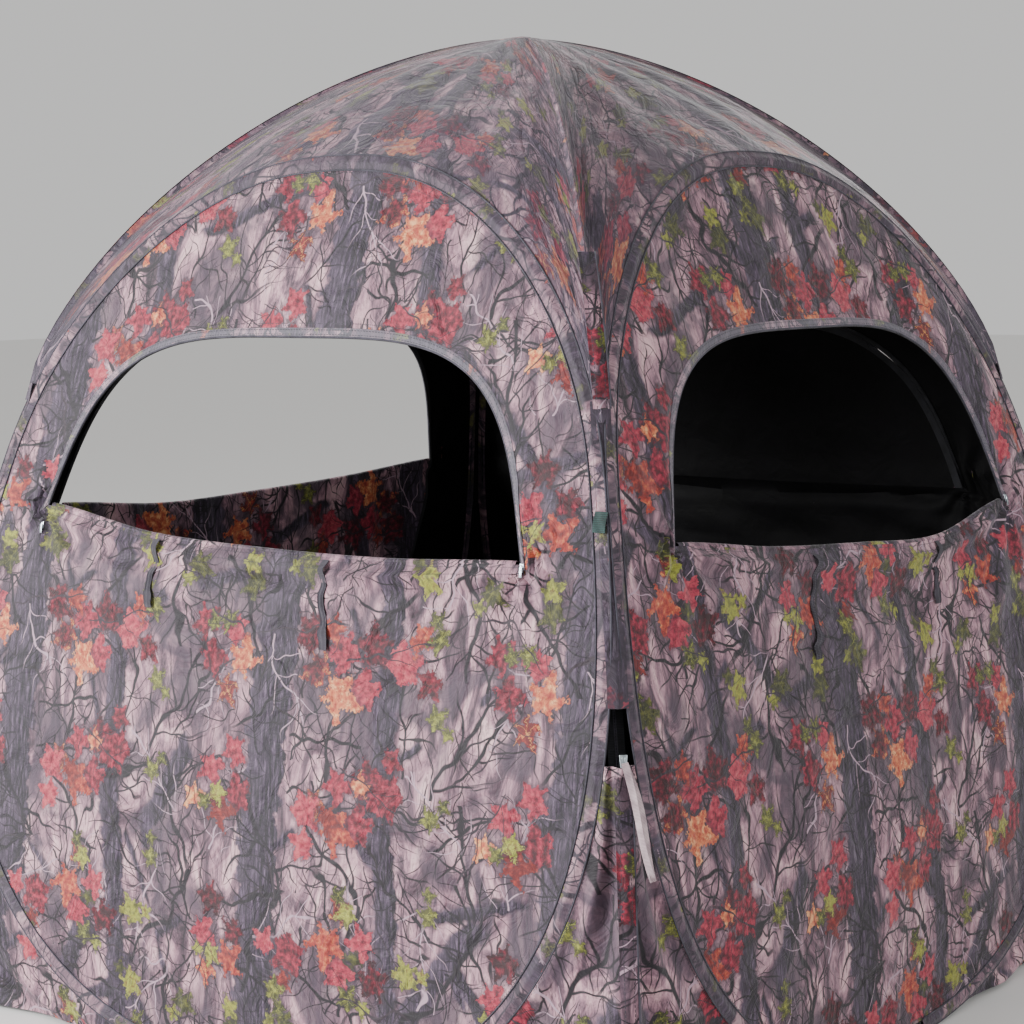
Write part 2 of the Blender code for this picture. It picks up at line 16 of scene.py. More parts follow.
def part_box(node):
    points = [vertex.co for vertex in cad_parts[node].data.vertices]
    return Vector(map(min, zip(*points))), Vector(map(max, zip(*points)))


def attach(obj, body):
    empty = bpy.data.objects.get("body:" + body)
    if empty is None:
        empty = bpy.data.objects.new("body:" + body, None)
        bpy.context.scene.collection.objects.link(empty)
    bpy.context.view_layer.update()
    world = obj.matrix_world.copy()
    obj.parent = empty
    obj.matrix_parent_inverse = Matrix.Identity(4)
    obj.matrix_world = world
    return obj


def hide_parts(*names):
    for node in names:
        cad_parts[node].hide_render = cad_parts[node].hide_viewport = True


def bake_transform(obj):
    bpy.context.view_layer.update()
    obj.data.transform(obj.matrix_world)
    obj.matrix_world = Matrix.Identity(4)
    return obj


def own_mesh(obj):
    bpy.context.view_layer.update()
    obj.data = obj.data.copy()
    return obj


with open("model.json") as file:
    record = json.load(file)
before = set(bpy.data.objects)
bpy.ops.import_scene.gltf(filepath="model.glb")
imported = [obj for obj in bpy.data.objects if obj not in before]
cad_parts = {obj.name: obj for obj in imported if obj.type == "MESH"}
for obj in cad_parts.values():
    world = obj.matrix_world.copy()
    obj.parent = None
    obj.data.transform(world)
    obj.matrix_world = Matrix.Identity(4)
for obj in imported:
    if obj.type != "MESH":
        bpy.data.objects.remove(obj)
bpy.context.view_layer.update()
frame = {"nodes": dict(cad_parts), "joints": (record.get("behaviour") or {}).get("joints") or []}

SIDES = ("front", "right", "back", "left")
CORNERS = ("front_right", "back_right", "back_left", "front_left")

# %% [markdown]
# ## The shape of one wall
# Cloth held by a hoop takes the hoop's curve. Each wall is plumb at the ground and leans in
# more with height, so its distance from the middle is a parabola. The hoop is a rounded
# square whose widest point, the waist, is where two walls touch at the corner. A formula for
# each lets every seam, hem and zip below follow the same curves at any fineness.
# %% Driving sizes, in metres
FOOT_HALF_WIDTH = 0.780      # wall from the middle, at the ground
WALL_SLOPE = 0.017
WALL_CURVE = 0.144           # lean that grows with height
WAIST_HEIGHT = 0.957
HOOP_TOP = 1.462
ROOF_APEX = 1.697
HOOP_ROUND_TOP = 2.40
HOOP_ROUND_BOTTOM = 2.47
SLEEVE_WIDTH = 0.027
SLEEVE_DEPTH = 0.0086
SEAM_GAP = 0.001
CORNER_GAP = 0.0015
STATIONS = 40                # places counted around one hoop
TOP_STATIONS = STATIONS // 4
SILL_STATION = 1
WINDOW_STATIONS = STATIONS // 2 + 2 * SILL_STATION
WINDOW_HALF_WIDTH = 0.526
WINDOW_TOP = 1.181
WINDOW_TAPER = 0.185
WINDOW_ROUND = 3.86
TAPE_WIDTH = 0.008
CLOTH = 0.0012               # drawn three times as thick as the real 0.4 mm cloth
fold_joint = next(joint for joint in frame["joints"] if joint["name"] == "front_window_fold")
SILL_HEIGHT = fold_joint["pos_m"][2]
FOLD_SETBACK = 0.009
print("sill at", SILL_HEIGHT, "window", round(WINDOW_TOP - SILL_HEIGHT, 3), "high")


# %% Curves of the wall, the hoop and the window
def wall_distance(height):
    return FOOT_HALF_WIDTH + WALL_SLOPE * height - WALL_CURVE * height ** 2


def wall_normal(height):
    return Vector((0.0, -1.0, 2.0 * WALL_CURVE * height - WALL_SLOPE)).normalized()


def wall_point(across, height, out=0.0):
    """Point on the front wall, moved out along its normal."""
    return Vector((across, -wall_distance(height), height)) + wall_normal(height) * out


def rounded(value, exponent):
    return math.copysign(abs(value) ** (2.0 / exponent), value)


def hoop_raw(angle):
    rise, reach = math.sin(angle), math.cos(angle)
    bottom = SLEEVE_WIDTH / 2 + SEAM_GAP
    span = HOOP_TOP - WAIST_HEIGHT if rise > 0 else WAIST_HEIGHT - bottom
    exponent = HOOP_ROUND_TOP if rise > 0 else HOOP_ROUND_BOTTOM
    height = WAIST_HEIGHT + span * rounded(rise, exponent)
    corner = wall_distance(height) - SLEEVE_WIDTH / 2 - CORNER_GAP
    return Vector((corner * rounded(reach, exponent), height))


def hoop_station(index, offset=0.0):
    """Across and height of the hoop at a station, moved out of the hoop by an offset."""
    step = math.tau / STATIONS
    here = hoop_raw(index * step)
    along = (hoop_raw((index + 0.5) * step) - hoop_raw((index - 0.5) * step)).normalized()
    return here + Vector((along.y, -along.x)) * offset


def window_half_width(share, grow=0.0):
    full = (WINDOW_HALF_WIDTH + grow) * (1.0 - WINDOW_TAPER * share)
    return full * max(0.0, 1.0 - share ** WINDOW_ROUND) ** (1.0 / WINDOW_ROUND)


def smooth(value, low, high):
    """0 below low, 1 above high, and a soft step between them."""
    share = min(1.0, max(0.0, (value - low) / (high - low)))
    return share * share * (3.0 - 2.0 * share)


# %% [markdown]
# ## Where the window cloth sags
# With the flap dropped, nothing pulls the lower edge of a window straight, so it sags between
# its corners, and differently in each wall. Five heights across the width set each edge.
# %% Sag of the four sills
SILL_SAG = {                 # metres above or below the sill line, from left to right
    "front": (0.042, 0.007, -0.002, -0.001, 0.012),
    "right": (0.032, -0.001, -0.022, -0.036, 0.004),
    "back": (0.004, 0.000, -0.002, 0.000, 0.004),
    "left": (0.020, 0.004, -0.004, -0.006, 0.018),
}


def sill_height(side, across):
    """Height of the sagging lower edge of a window, smooth through its five heights."""
    heights = SILL_SAG[side]
    place = min(3.9999, max(0.0, (across / WINDOW_HALF_WIDTH + 1.0) * 2.0))
    index = int(place)
    share = place - index
    before, here = heights[max(0, index - 1)], heights[index]
    there, after = heights[index + 1], heights[min(4, index + 2)]
    rise, next_rise = (there - before) / 2, (after - here) / 2
    square, cube = share ** 2, share ** 3
    sag = (here * (2 * cube - 3 * square + 1) + rise * (cube - 2 * square + share)
           + there * (3 * square - 2 * cube) + next_rise * (cube - square))
    return SILL_HEIGHT + sag


def window_edge(side, place, grow=0.0):
    """Across and height on the window's edge: 0 to 22 around the arch, 22 to 40 back along the sill."""
    if place > WINDOW_STATIONS:
        share = (place - WINDOW_STATIONS) / (STATIONS - WINDOW_STATIONS)
        across = (WINDOW_HALF_WIDTH + grow) * (2.0 * share - 1.0)
        return Vector((across, sill_height(side, across)))
    angle = math.pi * place / WINDOW_STATIONS
    share = 0.0 if place in (0, WINDOW_STATIONS) else abs(math.sin(angle)) ** (2.0 / WINDOW_ROUND)
    share = min(1.0, share)
    across = math.copysign(window_half_width(share, grow), math.cos(angle))
    foot = sill_height(side, math.copysign(WINDOW_HALF_WIDTH, across))
    return Vector((across, foot + share * (WINDOW_TOP + grow - foot)))


print("front sill from", round(sill_height("front", -0.52), 3), "to", round(sill_height("front", 0.52), 3))

# %% [markdown]
# ## Helpers for materials
# Colours are written as the sRGB hex values that a colour picker shows, and one function
# turns them to the linear values that shaders use. One function adds any node.
# %% Colour and node helpers


def colour(hex_value):
    """Linear RGBA of an sRGB hex colour."""
    channels = [int(hex_value[start:start + 2], 16) / 255 for start in (1, 3, 5)]
    linear = [c / 12.92 if c <= 0.04045 else ((c + 0.055) / 1.055) ** 2.4 for c in channels]
    return (*linear, 1.0)


def put(tree, kind, inputs=(), stops=(), **settings):
    """Add a node with its settings and links. A colour ramp's stops are (position, hex) pairs."""
    made = tree.nodes.new(kind)
    for name, value in settings.items():
        setattr(made, name, value)
    for index, (position, value) in enumerate(stops):
        if index >= len(made.color_ramp.elements):
            made.color_ramp.elements.new(1.0)
        made.color_ramp.elements[index].position = position
        made.color_ramp.elements[index].color = colour(value)
    for key, value in dict(inputs).items():
        if isinstance(value, bpy.types.Node):
            value = next(socket for socket in value.outputs if socket.enabled)
        if isinstance(value, bpy.types.NodeSocket):
            tree.links.new(value, made.inputs[key])
        else:
            made.inputs[key].default_value = value
    return made


print("helpers ready, mid grey is", round(colour("#808080")[0], 3))

# %% [markdown]
# ## The printed pattern
# The walls carry an autumn woodland print of our own: misty streaks, dark trunks, limbs,
# tangled twigs, and red, orange and green maple leaves. A roll of cloth repeats its print
# every 0.60 by 0.72 m. The leaves and twigs sit in a grid that divides this repeat, and each
# cell's hash, wrapped at the repeat, moves, turns and picks what is in it. So the same
# clusters come back across a wall as they do on real cloth. All of it reads metres on the
# cloth, from the UV map named Cloth.
# %% One grid of scattered shapes
REPEAT = (0.60, 0.72)        # metres before the print starts again


def scatter(tree, cloth, counts, seed, jitter):
    """A place on a grid of scattered shapes: metres from the shape's middle, its turn undone, and its hash."""
    cell = Vector((REPEAT[0] / counts[0], REPEAT[1] / counts[1], 1.0))
    shifted = put(tree, "ShaderNodeVectorMath", {0: cloth, 1: (seed * 0.031, seed * 0.047, 0.0)}, operation="ADD")
    grid = put(tree, "ShaderNodeVectorMath", {0: shifted, 1: cell}, operation="DIVIDE")
    index = put(tree, "ShaderNodeVectorMath", {0: grid}, operation="FLOOR")
    inside = put(tree, "ShaderNodeVectorMath", {0: grid}, operation="FRACTION")
    wrapped = put(tree, "ShaderNodeVectorMath", {0: index, 1: (*counts, 1.0), 2: (0.0, 0.0, 0.0)},
                  operation="WRAP")
    keyed = put(tree, "ShaderNodeVectorMath", {0: wrapped, 1: (0.5, 0.5, seed)}, operation="ADD")
    dice = put(tree, "ShaderNodeTexWhiteNoise", {"Vector": keyed}, noise_dimensions="3D")
    moved = put(tree, "ShaderNodeVectorMath", {0: dice.outputs["Color"], 1: (0.5, 0.5, 0.5)},
                operation="SUBTRACT")
    middle = put(tree, "ShaderNodeVectorMath", {0: moved, 1: (jitter, jitter, 0.0), 2: (0.5, 0.5, 0.0)},
                 operation="MULTIPLY_ADD")
    offset = put(tree, "ShaderNodeVectorMath", {0: inside, 1: middle}, operation="SUBTRACT")
    metres = put(tree, "ShaderNodeVectorMath", {0: offset, 1: (cell.x, cell.y, 0.0)}, operation="MULTIPLY")
    parts = put(tree, "ShaderNodeSeparateXYZ", {0: dice.outputs["Color"]})
    turn = put(tree, "ShaderNodeMath", {0: parts.outputs[2], 1: math.tau}, operation="MULTIPLY")
    local = put(tree, "ShaderNodeVectorRotate", {"Vector": metres, "Angle": turn}, rotation_type="Z_AXIS")
    return local, parts, dice.outputs["Value"]


# %% [markdown]
# A maple leaf has five pointed lobes. In polar form its edge is far out where the sine of two
# and a half times the angle is zero, and near where it is one, which gives five sharp tips and
# a notch at the stem. A little noise on the coordinates breaks the symmetry. Fallen leaves lie
# in drifts, so a drift is one cell of the scatter with several leaves around its middle.
# %% One maple leaf
def leaf(tree, local, spot, size, tilt, pick):
    """Mask, vein and depth of a leaf of a size in metres at a spot near the scattered place."""
    moved = put(tree, "ShaderNodeVectorMath", {0: local, 1: (*spot, 0.0)}, operation="SUBTRACT")
    turned = put(tree, "ShaderNodeVectorRotate", {"Vector": moved, "Angle": tilt}, rotation_type="Z_AXIS")
    scale = put(tree, "ShaderNodeMath", {0: pick, 1: 0.7 / size, 2: 1.45 / size}, operation="MULTIPLY_ADD")
    unit = put(tree, "ShaderNodeVectorMath", {0: turned, "Scale": scale}, operation="SCALE")
    rough = put(tree, "ShaderNodeTexNoise", {"Vector": moved, "Scale": 3.4 / size, "Detail": 3.0,
                                             "Roughness": 0.7}, noise_dimensions="2D")
    bent = put(tree, "ShaderNodeVectorMath", {0: rough.outputs["Color"], 1: (0.9, 0.9, 0.0), 2: unit},
               operation="MULTIPLY_ADD")
    centred = put(tree, "ShaderNodeVectorMath", {0: bent, 1: (0.45, 0.45, 0.0)}, operation="SUBTRACT")
    axes = put(tree, "ShaderNodeSeparateXYZ", {0: centred})
    angle = put(tree, "ShaderNodeMath", {0: axes.outputs[0], 1: axes.outputs[1]}, operation="ARCTAN2")
    reach = put(tree, "ShaderNodeVectorMath", {0: centred}, operation="LENGTH").outputs["Value"]
    lobes = put(tree, "ShaderNodeMath", {0: angle, 1: 2.5}, operation="MULTIPLY")
    wave = put(tree, "ShaderNodeMath", {0: lobes}, operation="SINE")
    notch = put(tree, "ShaderNodeMath", {0: wave}, operation="ABSOLUTE")
    deep = put(tree, "ShaderNodeMath", {0: notch, 1: 0.85}, operation="POWER")
    edge = put(tree, "ShaderNodeMath", {0: deep, 1: -0.44, 2: 1.02}, operation="MULTIPLY_ADD")
    forward = put(tree, "ShaderNodeMath", {0: angle}, operation="COSINE")
    longer = put(tree, "ShaderNodeMath", {0: forward, 1: 0.17, 2: 0.83}, operation="MULTIPLY_ADD")
    shaped = put(tree, "ShaderNodeMath", {0: edge, 1: longer}, operation="MULTIPLY")
    inside = put(tree, "ShaderNodeMath", {0: shaped, 1: reach}, operation="SUBTRACT")
    mask = put(tree, "ShaderNodeMapRange", {0: inside, 1: -0.02, 2: 0.05})
    vein_across = put(tree, "ShaderNodeMath", {0: notch, 1: reach}, operation="MULTIPLY")
    vein = put(tree, "ShaderNodeMapRange", {0: vein_across, 1: 0.01, 2: 0.09, 3: 0.55, 4: 0.0})
    return mask, vein, inside


# %% Drifts of leaves
def lay_leaves(tree, cloth, picture, dapple, counts, seed, chance, jitter, members):
    """Lay scattered drifts of leaves over the picture. A member is its spot, size, tilt, stops and rim."""
    local, parts, pick = scatter(tree, cloth, counts, seed, jitter)
    shown = put(tree, "ShaderNodeMath", {0: pick, 1: chance}, operation="LESS_THAN")
    for number, (spot, size, tilt, stops, rim) in enumerate(members):
        mask, vein, depth = leaf(tree, local, spot, size, tilt, parts.outputs[number % 3])
        own = put(tree, "ShaderNodeMath", {0: parts.outputs[(number + 1) % 3], 1: 7.31 * (number + 1)},
                  operation="MULTIPLY")
        tone = put(tree, "ShaderNodeMath", {0: own}, operation="FRACT")
        flecks = put(tree, "ShaderNodeMath", {0: dapple, 1: 1.5, 2: -0.75}, operation="MULTIPLY_ADD")
        spread = put(tree, "ShaderNodeMath", {0: tone, 1: 0.75, 2: flecks}, operation="MULTIPLY_ADD")
        face = put(tree, "ShaderNodeValToRGB", {0: spread}, stops=stops)
        veined = put(tree, "ShaderNodeMix", {0: vein, 6: face, 7: colour(rim)}, data_type="RGBA")
        seen = put(tree, "ShaderNodeMath", {0: mask, 1: shown}, operation="MULTIPLY")
        shade = put(tree, "ShaderNodeMapRange", {0: depth, 1: -0.30, 2: 0.0, 3: 0.0, 4: 0.55})
        dim = put(tree, "ShaderNodeMath", {0: shade, 1: shown}, operation="MULTIPLY")
        darker = put(tree, "ShaderNodeMix", {0: dim, 6: picture, 7: colour("#453843")}, data_type="RGBA")
        picture = put(tree, "ShaderNodeMix", {0: seen, 6: darker, 7: veined}, data_type="RGBA")
    return picture


# %% [markdown]
# A twig is a thin line with side shoots at 45 degrees. Adding the sideways distance to the
# lengthways one folds the plane into such a herringbone, and a narrow band of the repeating
# result gives all the shoots at once. Noise bends the lines.
# %% Twigs
def twigs(tree, cloth, counts, length, width, chance, seed):
    """Mask of scattered twigs with side shoots, each about length metres long."""
    bend = put(tree, "ShaderNodeTexNoise", {"Vector": cloth, "Scale": 9.0, "Detail": 2.0},
               noise_dimensions="2D")
    centred = put(tree, "ShaderNodeVectorMath", {0: bend.outputs["Color"], 1: (0.5, 0.5, 0.5)},
                  operation="SUBTRACT")
    local, parts, pick = scatter(tree, cloth, counts, seed, 0.5)
    bent = put(tree, "ShaderNodeVectorMath", {0: centred, 1: (0.075, 0.075, 0.0), 2: local},
               operation="MULTIPLY_ADD")
    axes = put(tree, "ShaderNodeSeparateXYZ", {0: bent})
    aside = put(tree, "ShaderNodeMath", {0: axes.outputs[0]}, operation="ABSOLUTE")
    along = put(tree, "ShaderNodeMath", {0: axes.outputs[1]}, operation="ABSOLUTE")
    stem = put(tree, "ShaderNodeMapRange", {0: aside, 1: width * 0.7, 2: width * 1.3, 3: 1.0, 4: 0.0})
    folded = put(tree, "ShaderNodeMath", {0: axes.outputs[1], 1: aside}, operation="SUBTRACT")
    spacing = length * 0.24
    band = put(tree, "ShaderNodeMath", {0: folded, 1: spacing / 2}, operation="PINGPONG")
    shoot = put(tree, "ShaderNodeMapRange", {0: band, 1: width * 0.35, 2: width * 0.9, 3: 1.0, 4: 0.0})
    reach = put(tree, "ShaderNodeMapRange", {0: aside, 1: length * 0.16, 2: length * 0.26, 3: 1.0, 4: 0.0})
    shoots = put(tree, "ShaderNodeMath", {0: shoot, 1: reach}, operation="MULTIPLY")
    lines = put(tree, "ShaderNodeMath", {0: stem, 1: shoots}, operation="MAXIMUM")
    limit = put(tree, "ShaderNodeMapRange", {0: along, 1: length * 0.38, 2: length * 0.5, 3: 1.0, 4: 0.0})
    shown = put(tree, "ShaderNodeMath", {0: pick, 1: chance}, operation="LESS_THAN")
    cut = put(tree, "ShaderNodeMath", {0: lines, 1: limit}, operation="MULTIPLY")
    return put(tree, "ShaderNodeMath", {0: cut, 1: shown}, operation="MULTIPLY")


# %% Trunks and limbs
def trunk(tree, cloth, centre, width, turn, seed, wander=0.05):
    """Mask of a trunk or limb that crosses the print, and the place across it from -1 to 1."""
    turned = put(tree, "ShaderNodeVectorRotate", {"Vector": cloth, "Angle": turn}, rotation_type="Z_AXIS")
    axes = put(tree, "ShaderNodeSeparateXYZ", {0: turned})
    drift = put(tree, "ShaderNodeTexNoise", {"W": axes.outputs[1], "Scale": 3.1, "Detail": 3.0},
                noise_dimensions="1D")
    wavy = put(tree, "ShaderNodeMath", {0: drift.outputs[0], 1: wander, 2: axes.outputs[0]},
               operation="MULTIPLY_ADD")
    placed = put(tree, "ShaderNodeMath", {0: wavy, 1: centre + wander / 2}, operation="SUBTRACT")
    wrapped = put(tree, "ShaderNodeMath", {0: placed, 1: REPEAT[0] / 2, 2: -REPEAT[0] / 2}, operation="WRAP")
    ragged = put(tree, "ShaderNodeTexNoise", {"Vector": cloth, "Scale": 38.0 + seed, "Detail": 3.0},
                 noise_dimensions="2D")
    thick = put(tree, "ShaderNodeMath", {0: ragged.outputs[0], 1: width * 0.5, 2: width * 0.25},
                operation="MULTIPLY_ADD")
    away = put(tree, "ShaderNodeMath", {0: wrapped}, operation="ABSOLUTE")
    inside = put(tree, "ShaderNodeMath", {0: thick, 1: away}, operation="SUBTRACT")
    mask = put(tree, "ShaderNodeMapRange", {0: inside, 1: -0.0015, 2: 0.0045})
    side = put(tree, "ShaderNodeMath", {0: wrapped, 1: width / 2}, operation="DIVIDE")
    return mask, side


# %% [markdown]
# The print is built in layers from far to near, as the printer's art was: mist, litter, bark,
# limbs, twigs, leaves, and last a few bright twigs. It is one node group, because the wall
# cloth, the sleeves and the hems all carry it.
# %% The woodland print as a node group
def make_print():
    group = bpy.data.node_groups.new("Autumn woodland print", "ShaderNodeTree")
    group.interface.new_socket("Cloth", in_out="INPUT", socket_type="NodeSocketVector")
    group.interface.new_socket("Color", in_out="OUTPUT", socket_type="NodeSocketColor")
    cloth = put(group, "NodeGroupInput").outputs["Cloth"]

    # Mist: pale streaks that run up the cloth, with dark hollows between them
    tall = put(group, "ShaderNodeVectorMath", {0: cloth, 1: (1.0, 0.42, 1.0)}, operation="MULTIPLY")
    mist = put(group, "ShaderNodeTexNoise", {"Vector": tall, "Scale": 14.0, "Detail": 7.0, "Roughness": 0.64,
                                             "Distortion": 1.6}, noise_dimensions="2D")
    picture = put(group, "ShaderNodeValToRGB", {0: mist}, stops=(
        (0.28, "#42353f"), (0.41, "#7a616e"), (0.50, "#a98894"), (0.60, "#c7a5ad"), (0.74, "#dfc2c4")))
    patch = put(group, "ShaderNodeTexNoise", {"Vector": cloth, "Scale": 6.5, "Detail": 4.0, "Distortion": 0.8},
                noise_dimensions="2D")
    patch_mask = put(group, "ShaderNodeMapRange", {0: patch, 1: 0.50, 2: 0.62, 3: 0.0, 4: 0.80})
    picture = put(group, "ShaderNodeMix", {0: patch_mask, 6: picture, 7: colour("#574a59")}, data_type="RGBA")
    stretched = put(group, "ShaderNodeVectorMath", {0: cloth, 1: (110.0, 19.0, 1.0)}, operation="MULTIPLY")
    grass = put(group, "ShaderNodeTexNoise", {"Vector": stretched, "Scale": 1.0, "Detail": 5.0,
                                              "Roughness": 0.75, "Distortion": 1.2}, noise_dimensions="2D")
    grass_mask = put(group, "ShaderNodeMapRange", {0: grass, 1: 0.52, 2: 0.68, 3: 0.0, 4: 0.75})
    picture = put(group, "ShaderNodeMix", {0: grass_mask, 6: picture, 7: colour("#4a3c48")}, data_type="RGBA")

    # Bark: trunks and limbs, each lit from the left
    bark_map = put(group, "ShaderNodeVectorMath", {0: cloth, 1: (150.0, 24.0, 1.0)}, operation="MULTIPLY")
    bark = put(group, "ShaderNodeTexNoise", {"Vector": bark_map, "Scale": 1.0, "Detail": 5.0,
                                             "Roughness": 0.72}, noise_dimensions="2D")
    bark_colour = put(group, "ShaderNodeValToRGB", {0: bark}, stops=(
        (0.34, "#1b1520"), (0.48, "#372d3d"), (0.60, "#5c4e61"), (0.74, "#86768b")))
    for centre, width, turn, seed in ((0.05, 0.016, -0.42, 6.0), (0.36, 0.018, 0.95, 7.0),
                                      (0.16, 0.088, 0.03, 1.0), (0.46, 0.046, -0.06, 5.0),
                                      (0.27, 0.042, 0.62, 2.0), (0.02, 0.030, -0.80, 3.0),
                                      (0.40, 0.026, 1.25, 4.0)):
        mask, side = trunk(group, cloth, centre, width, turn, seed)
        if abs(turn) > 0.1:
            gate = put(group, "ShaderNodeTexNoise", {"Vector": cloth, "Scale": 3.0 + seed, "Detail": 0.0},
                       noise_dimensions="2D")
            opened = put(group, "ShaderNodeMapRange", {0: gate, 1: 0.46, 2: 0.52})
            mask = put(group, "ShaderNodeMath", {0: mask, 1: opened}, operation="MULTIPLY")
        lit = put(group, "ShaderNodeMapRange", {0: side, 1: -1.0, 2: 0.3, 3: 0.28, 4: 0.0})
        shaded = put(group, "ShaderNodeMix", {0: lit, 6: bark_colour, 7: colour("#8a798d")}, data_type="RGBA")
        picture = put(group, "ShaderNodeMix", {0: mask, 6: picture, 7: shaded}, data_type="RGBA")

    # Twigs: dark tangles over the mist, from thick to thin, and a few pale ones
    for counts, length, width, chance, seed, hue in (
            ((3, 4), 0.30, 0.0040, 0.85, 11.0, "#2a212d"), ((4, 5), 0.21, 0.0025, 0.90, 12.0, "#251d28"),
            ((5, 6), 0.16, 0.0018, 0.85, 13.0, "#2b222e"), ((4, 4), 0.20, 0.0017, 0.45, 14.0, "#b69fac"),
            ((7, 8), 0.11, 0.0014, 0.85, 16.0, "#31272f")):
        lines = twigs(group, cloth, counts, length, width, chance, seed)
        picture = put(group, "ShaderNodeMix", {0: lines, 6: picture, 7: colour(hue)}, data_type="RGBA")

    # Leaves: single dim green ones behind, then red and orange drifts, then small bright green ones
    dapple = put(group, "ShaderNodeTexNoise", {"Vector": cloth, "Scale": 95.0, "Detail": 4.0},
                 noise_dimensions="2D").outputs[0]
    greens = ((0.0, "#43442a"), (0.4, "#6f6f3a"), (0.75, "#a0a24c"), (1.0, "#7d6840"))
    reds = ((0.0, "#3f1424"), (0.30, "#76233a"), (0.60, "#a83d55"), (1.0, "#c2676f"))
    embers = ((0.0, "#742a2e"), (0.35, "#a84b42"), (0.7, "#c9805c"), (1.0, "#dcae84"))
    picture = lay_leaves(group, cloth, picture, dapple, (5, 6), 21.0, 0.34, 0.30,
                         (((0.0, 0.0), 0.058, 0.4, greens, "#83834c"), ((0.028, 0.020), 0.040, 2.1, greens, "#5d5f35")))
    picture = lay_leaves(group, cloth, picture, dapple, (2, 3), 22.0, 0.80, 0.25,
                         (((0.0, 0.052), 0.076, 0.3, reds, "#4d1620"), ((-0.040, 0.010), 0.074, 2.4, reds, "#58202a"),
                          ((0.036, -0.004), 0.070, 4.4, reds, "#5c2228"), ((0.006, -0.046), 0.082, 1.2, embers, "#8c3228"),
                          ((-0.052, -0.048), 0.058, 3.5, embers, "#f0c27c")))
    picture = lay_leaves(group, cloth, picture, dapple, (3, 3), 27.0, 0.62, 0.30,
                         (((0.0, 0.0), 0.078, 5.1, reds, "#4a1720"), ((0.044, 0.032), 0.060, 2.9, reds, "#8d3a3d"),
                          ((-0.026, 0.046), 0.054, 0.9, embers, "#7c2f26")))
    picture = lay_leaves(group, cloth, picture, dapple, (4, 5), 24.0, 0.45, 0.30,
                         (((0.0, 0.0), 0.044, 0.9, greens, "#bcbf6c"), ((0.026, -0.018), 0.034, 3.6, greens, "#adb05c")))
    lines = twigs(group, cloth, (3, 5), 0.22, 0.0015, 0.7, 15.0)
    picture = put(group, "ShaderNodeMix", {0: lines, 6: picture, 7: colour("#41343f")}, data_type="RGBA")
    inked = put(group, "ShaderNodeGamma", {0: picture, 1: 1.32})
    put(group, "NodeGroupOutput", {"Color": inked})
    return group


woodland = make_print()
print("print group:", len(woodland.nodes), "nodes")

# %% [markdown]
# ## Cloth
# The shell is printed 150 denier polyester. Its threads are 0.25 mm apart, too fine to show
# at the distance of a whole blind, so the weave is drawn at 1.2 mm. Under it a soft crumple
# with creases about 40 mm apart stays from packing. Polyester has a faint sheen. Stitching is
# a row of dashes that follow the UV map named Edge, which holds metres along a seam and
# metres in from it.
# %% Printed cloth material
WEAVE = 0.0012               # metres between drawn threads
STITCH_PITCH = 0.0062
STITCH_WIDTH = 0.0011


def stitch_mask(tree, edge_axes, inset):
    """Mask of a row of stitches a set distance in from the seam."""
    along = put(tree, "ShaderNodeMath", {0: edge_axes.outputs[0], 1: 1.0 / STITCH_PITCH}, operation="MULTIPLY")
    beat = put(tree, "ShaderNodeMath", {0: along}, operation="FRACT")
    dash = put(tree, "ShaderNodeMath", {0: beat, 1: 0.66}, operation="LESS_THAN")
    line = put(tree, "ShaderNodeMath", {0: edge_axes.outputs[1], 1: inset, 2: STITCH_WIDTH / 2},
               operation="COMPARE")
    return put(tree, "ShaderNodeMath", {0: dash, 1: line}, operation="MULTIPLY")


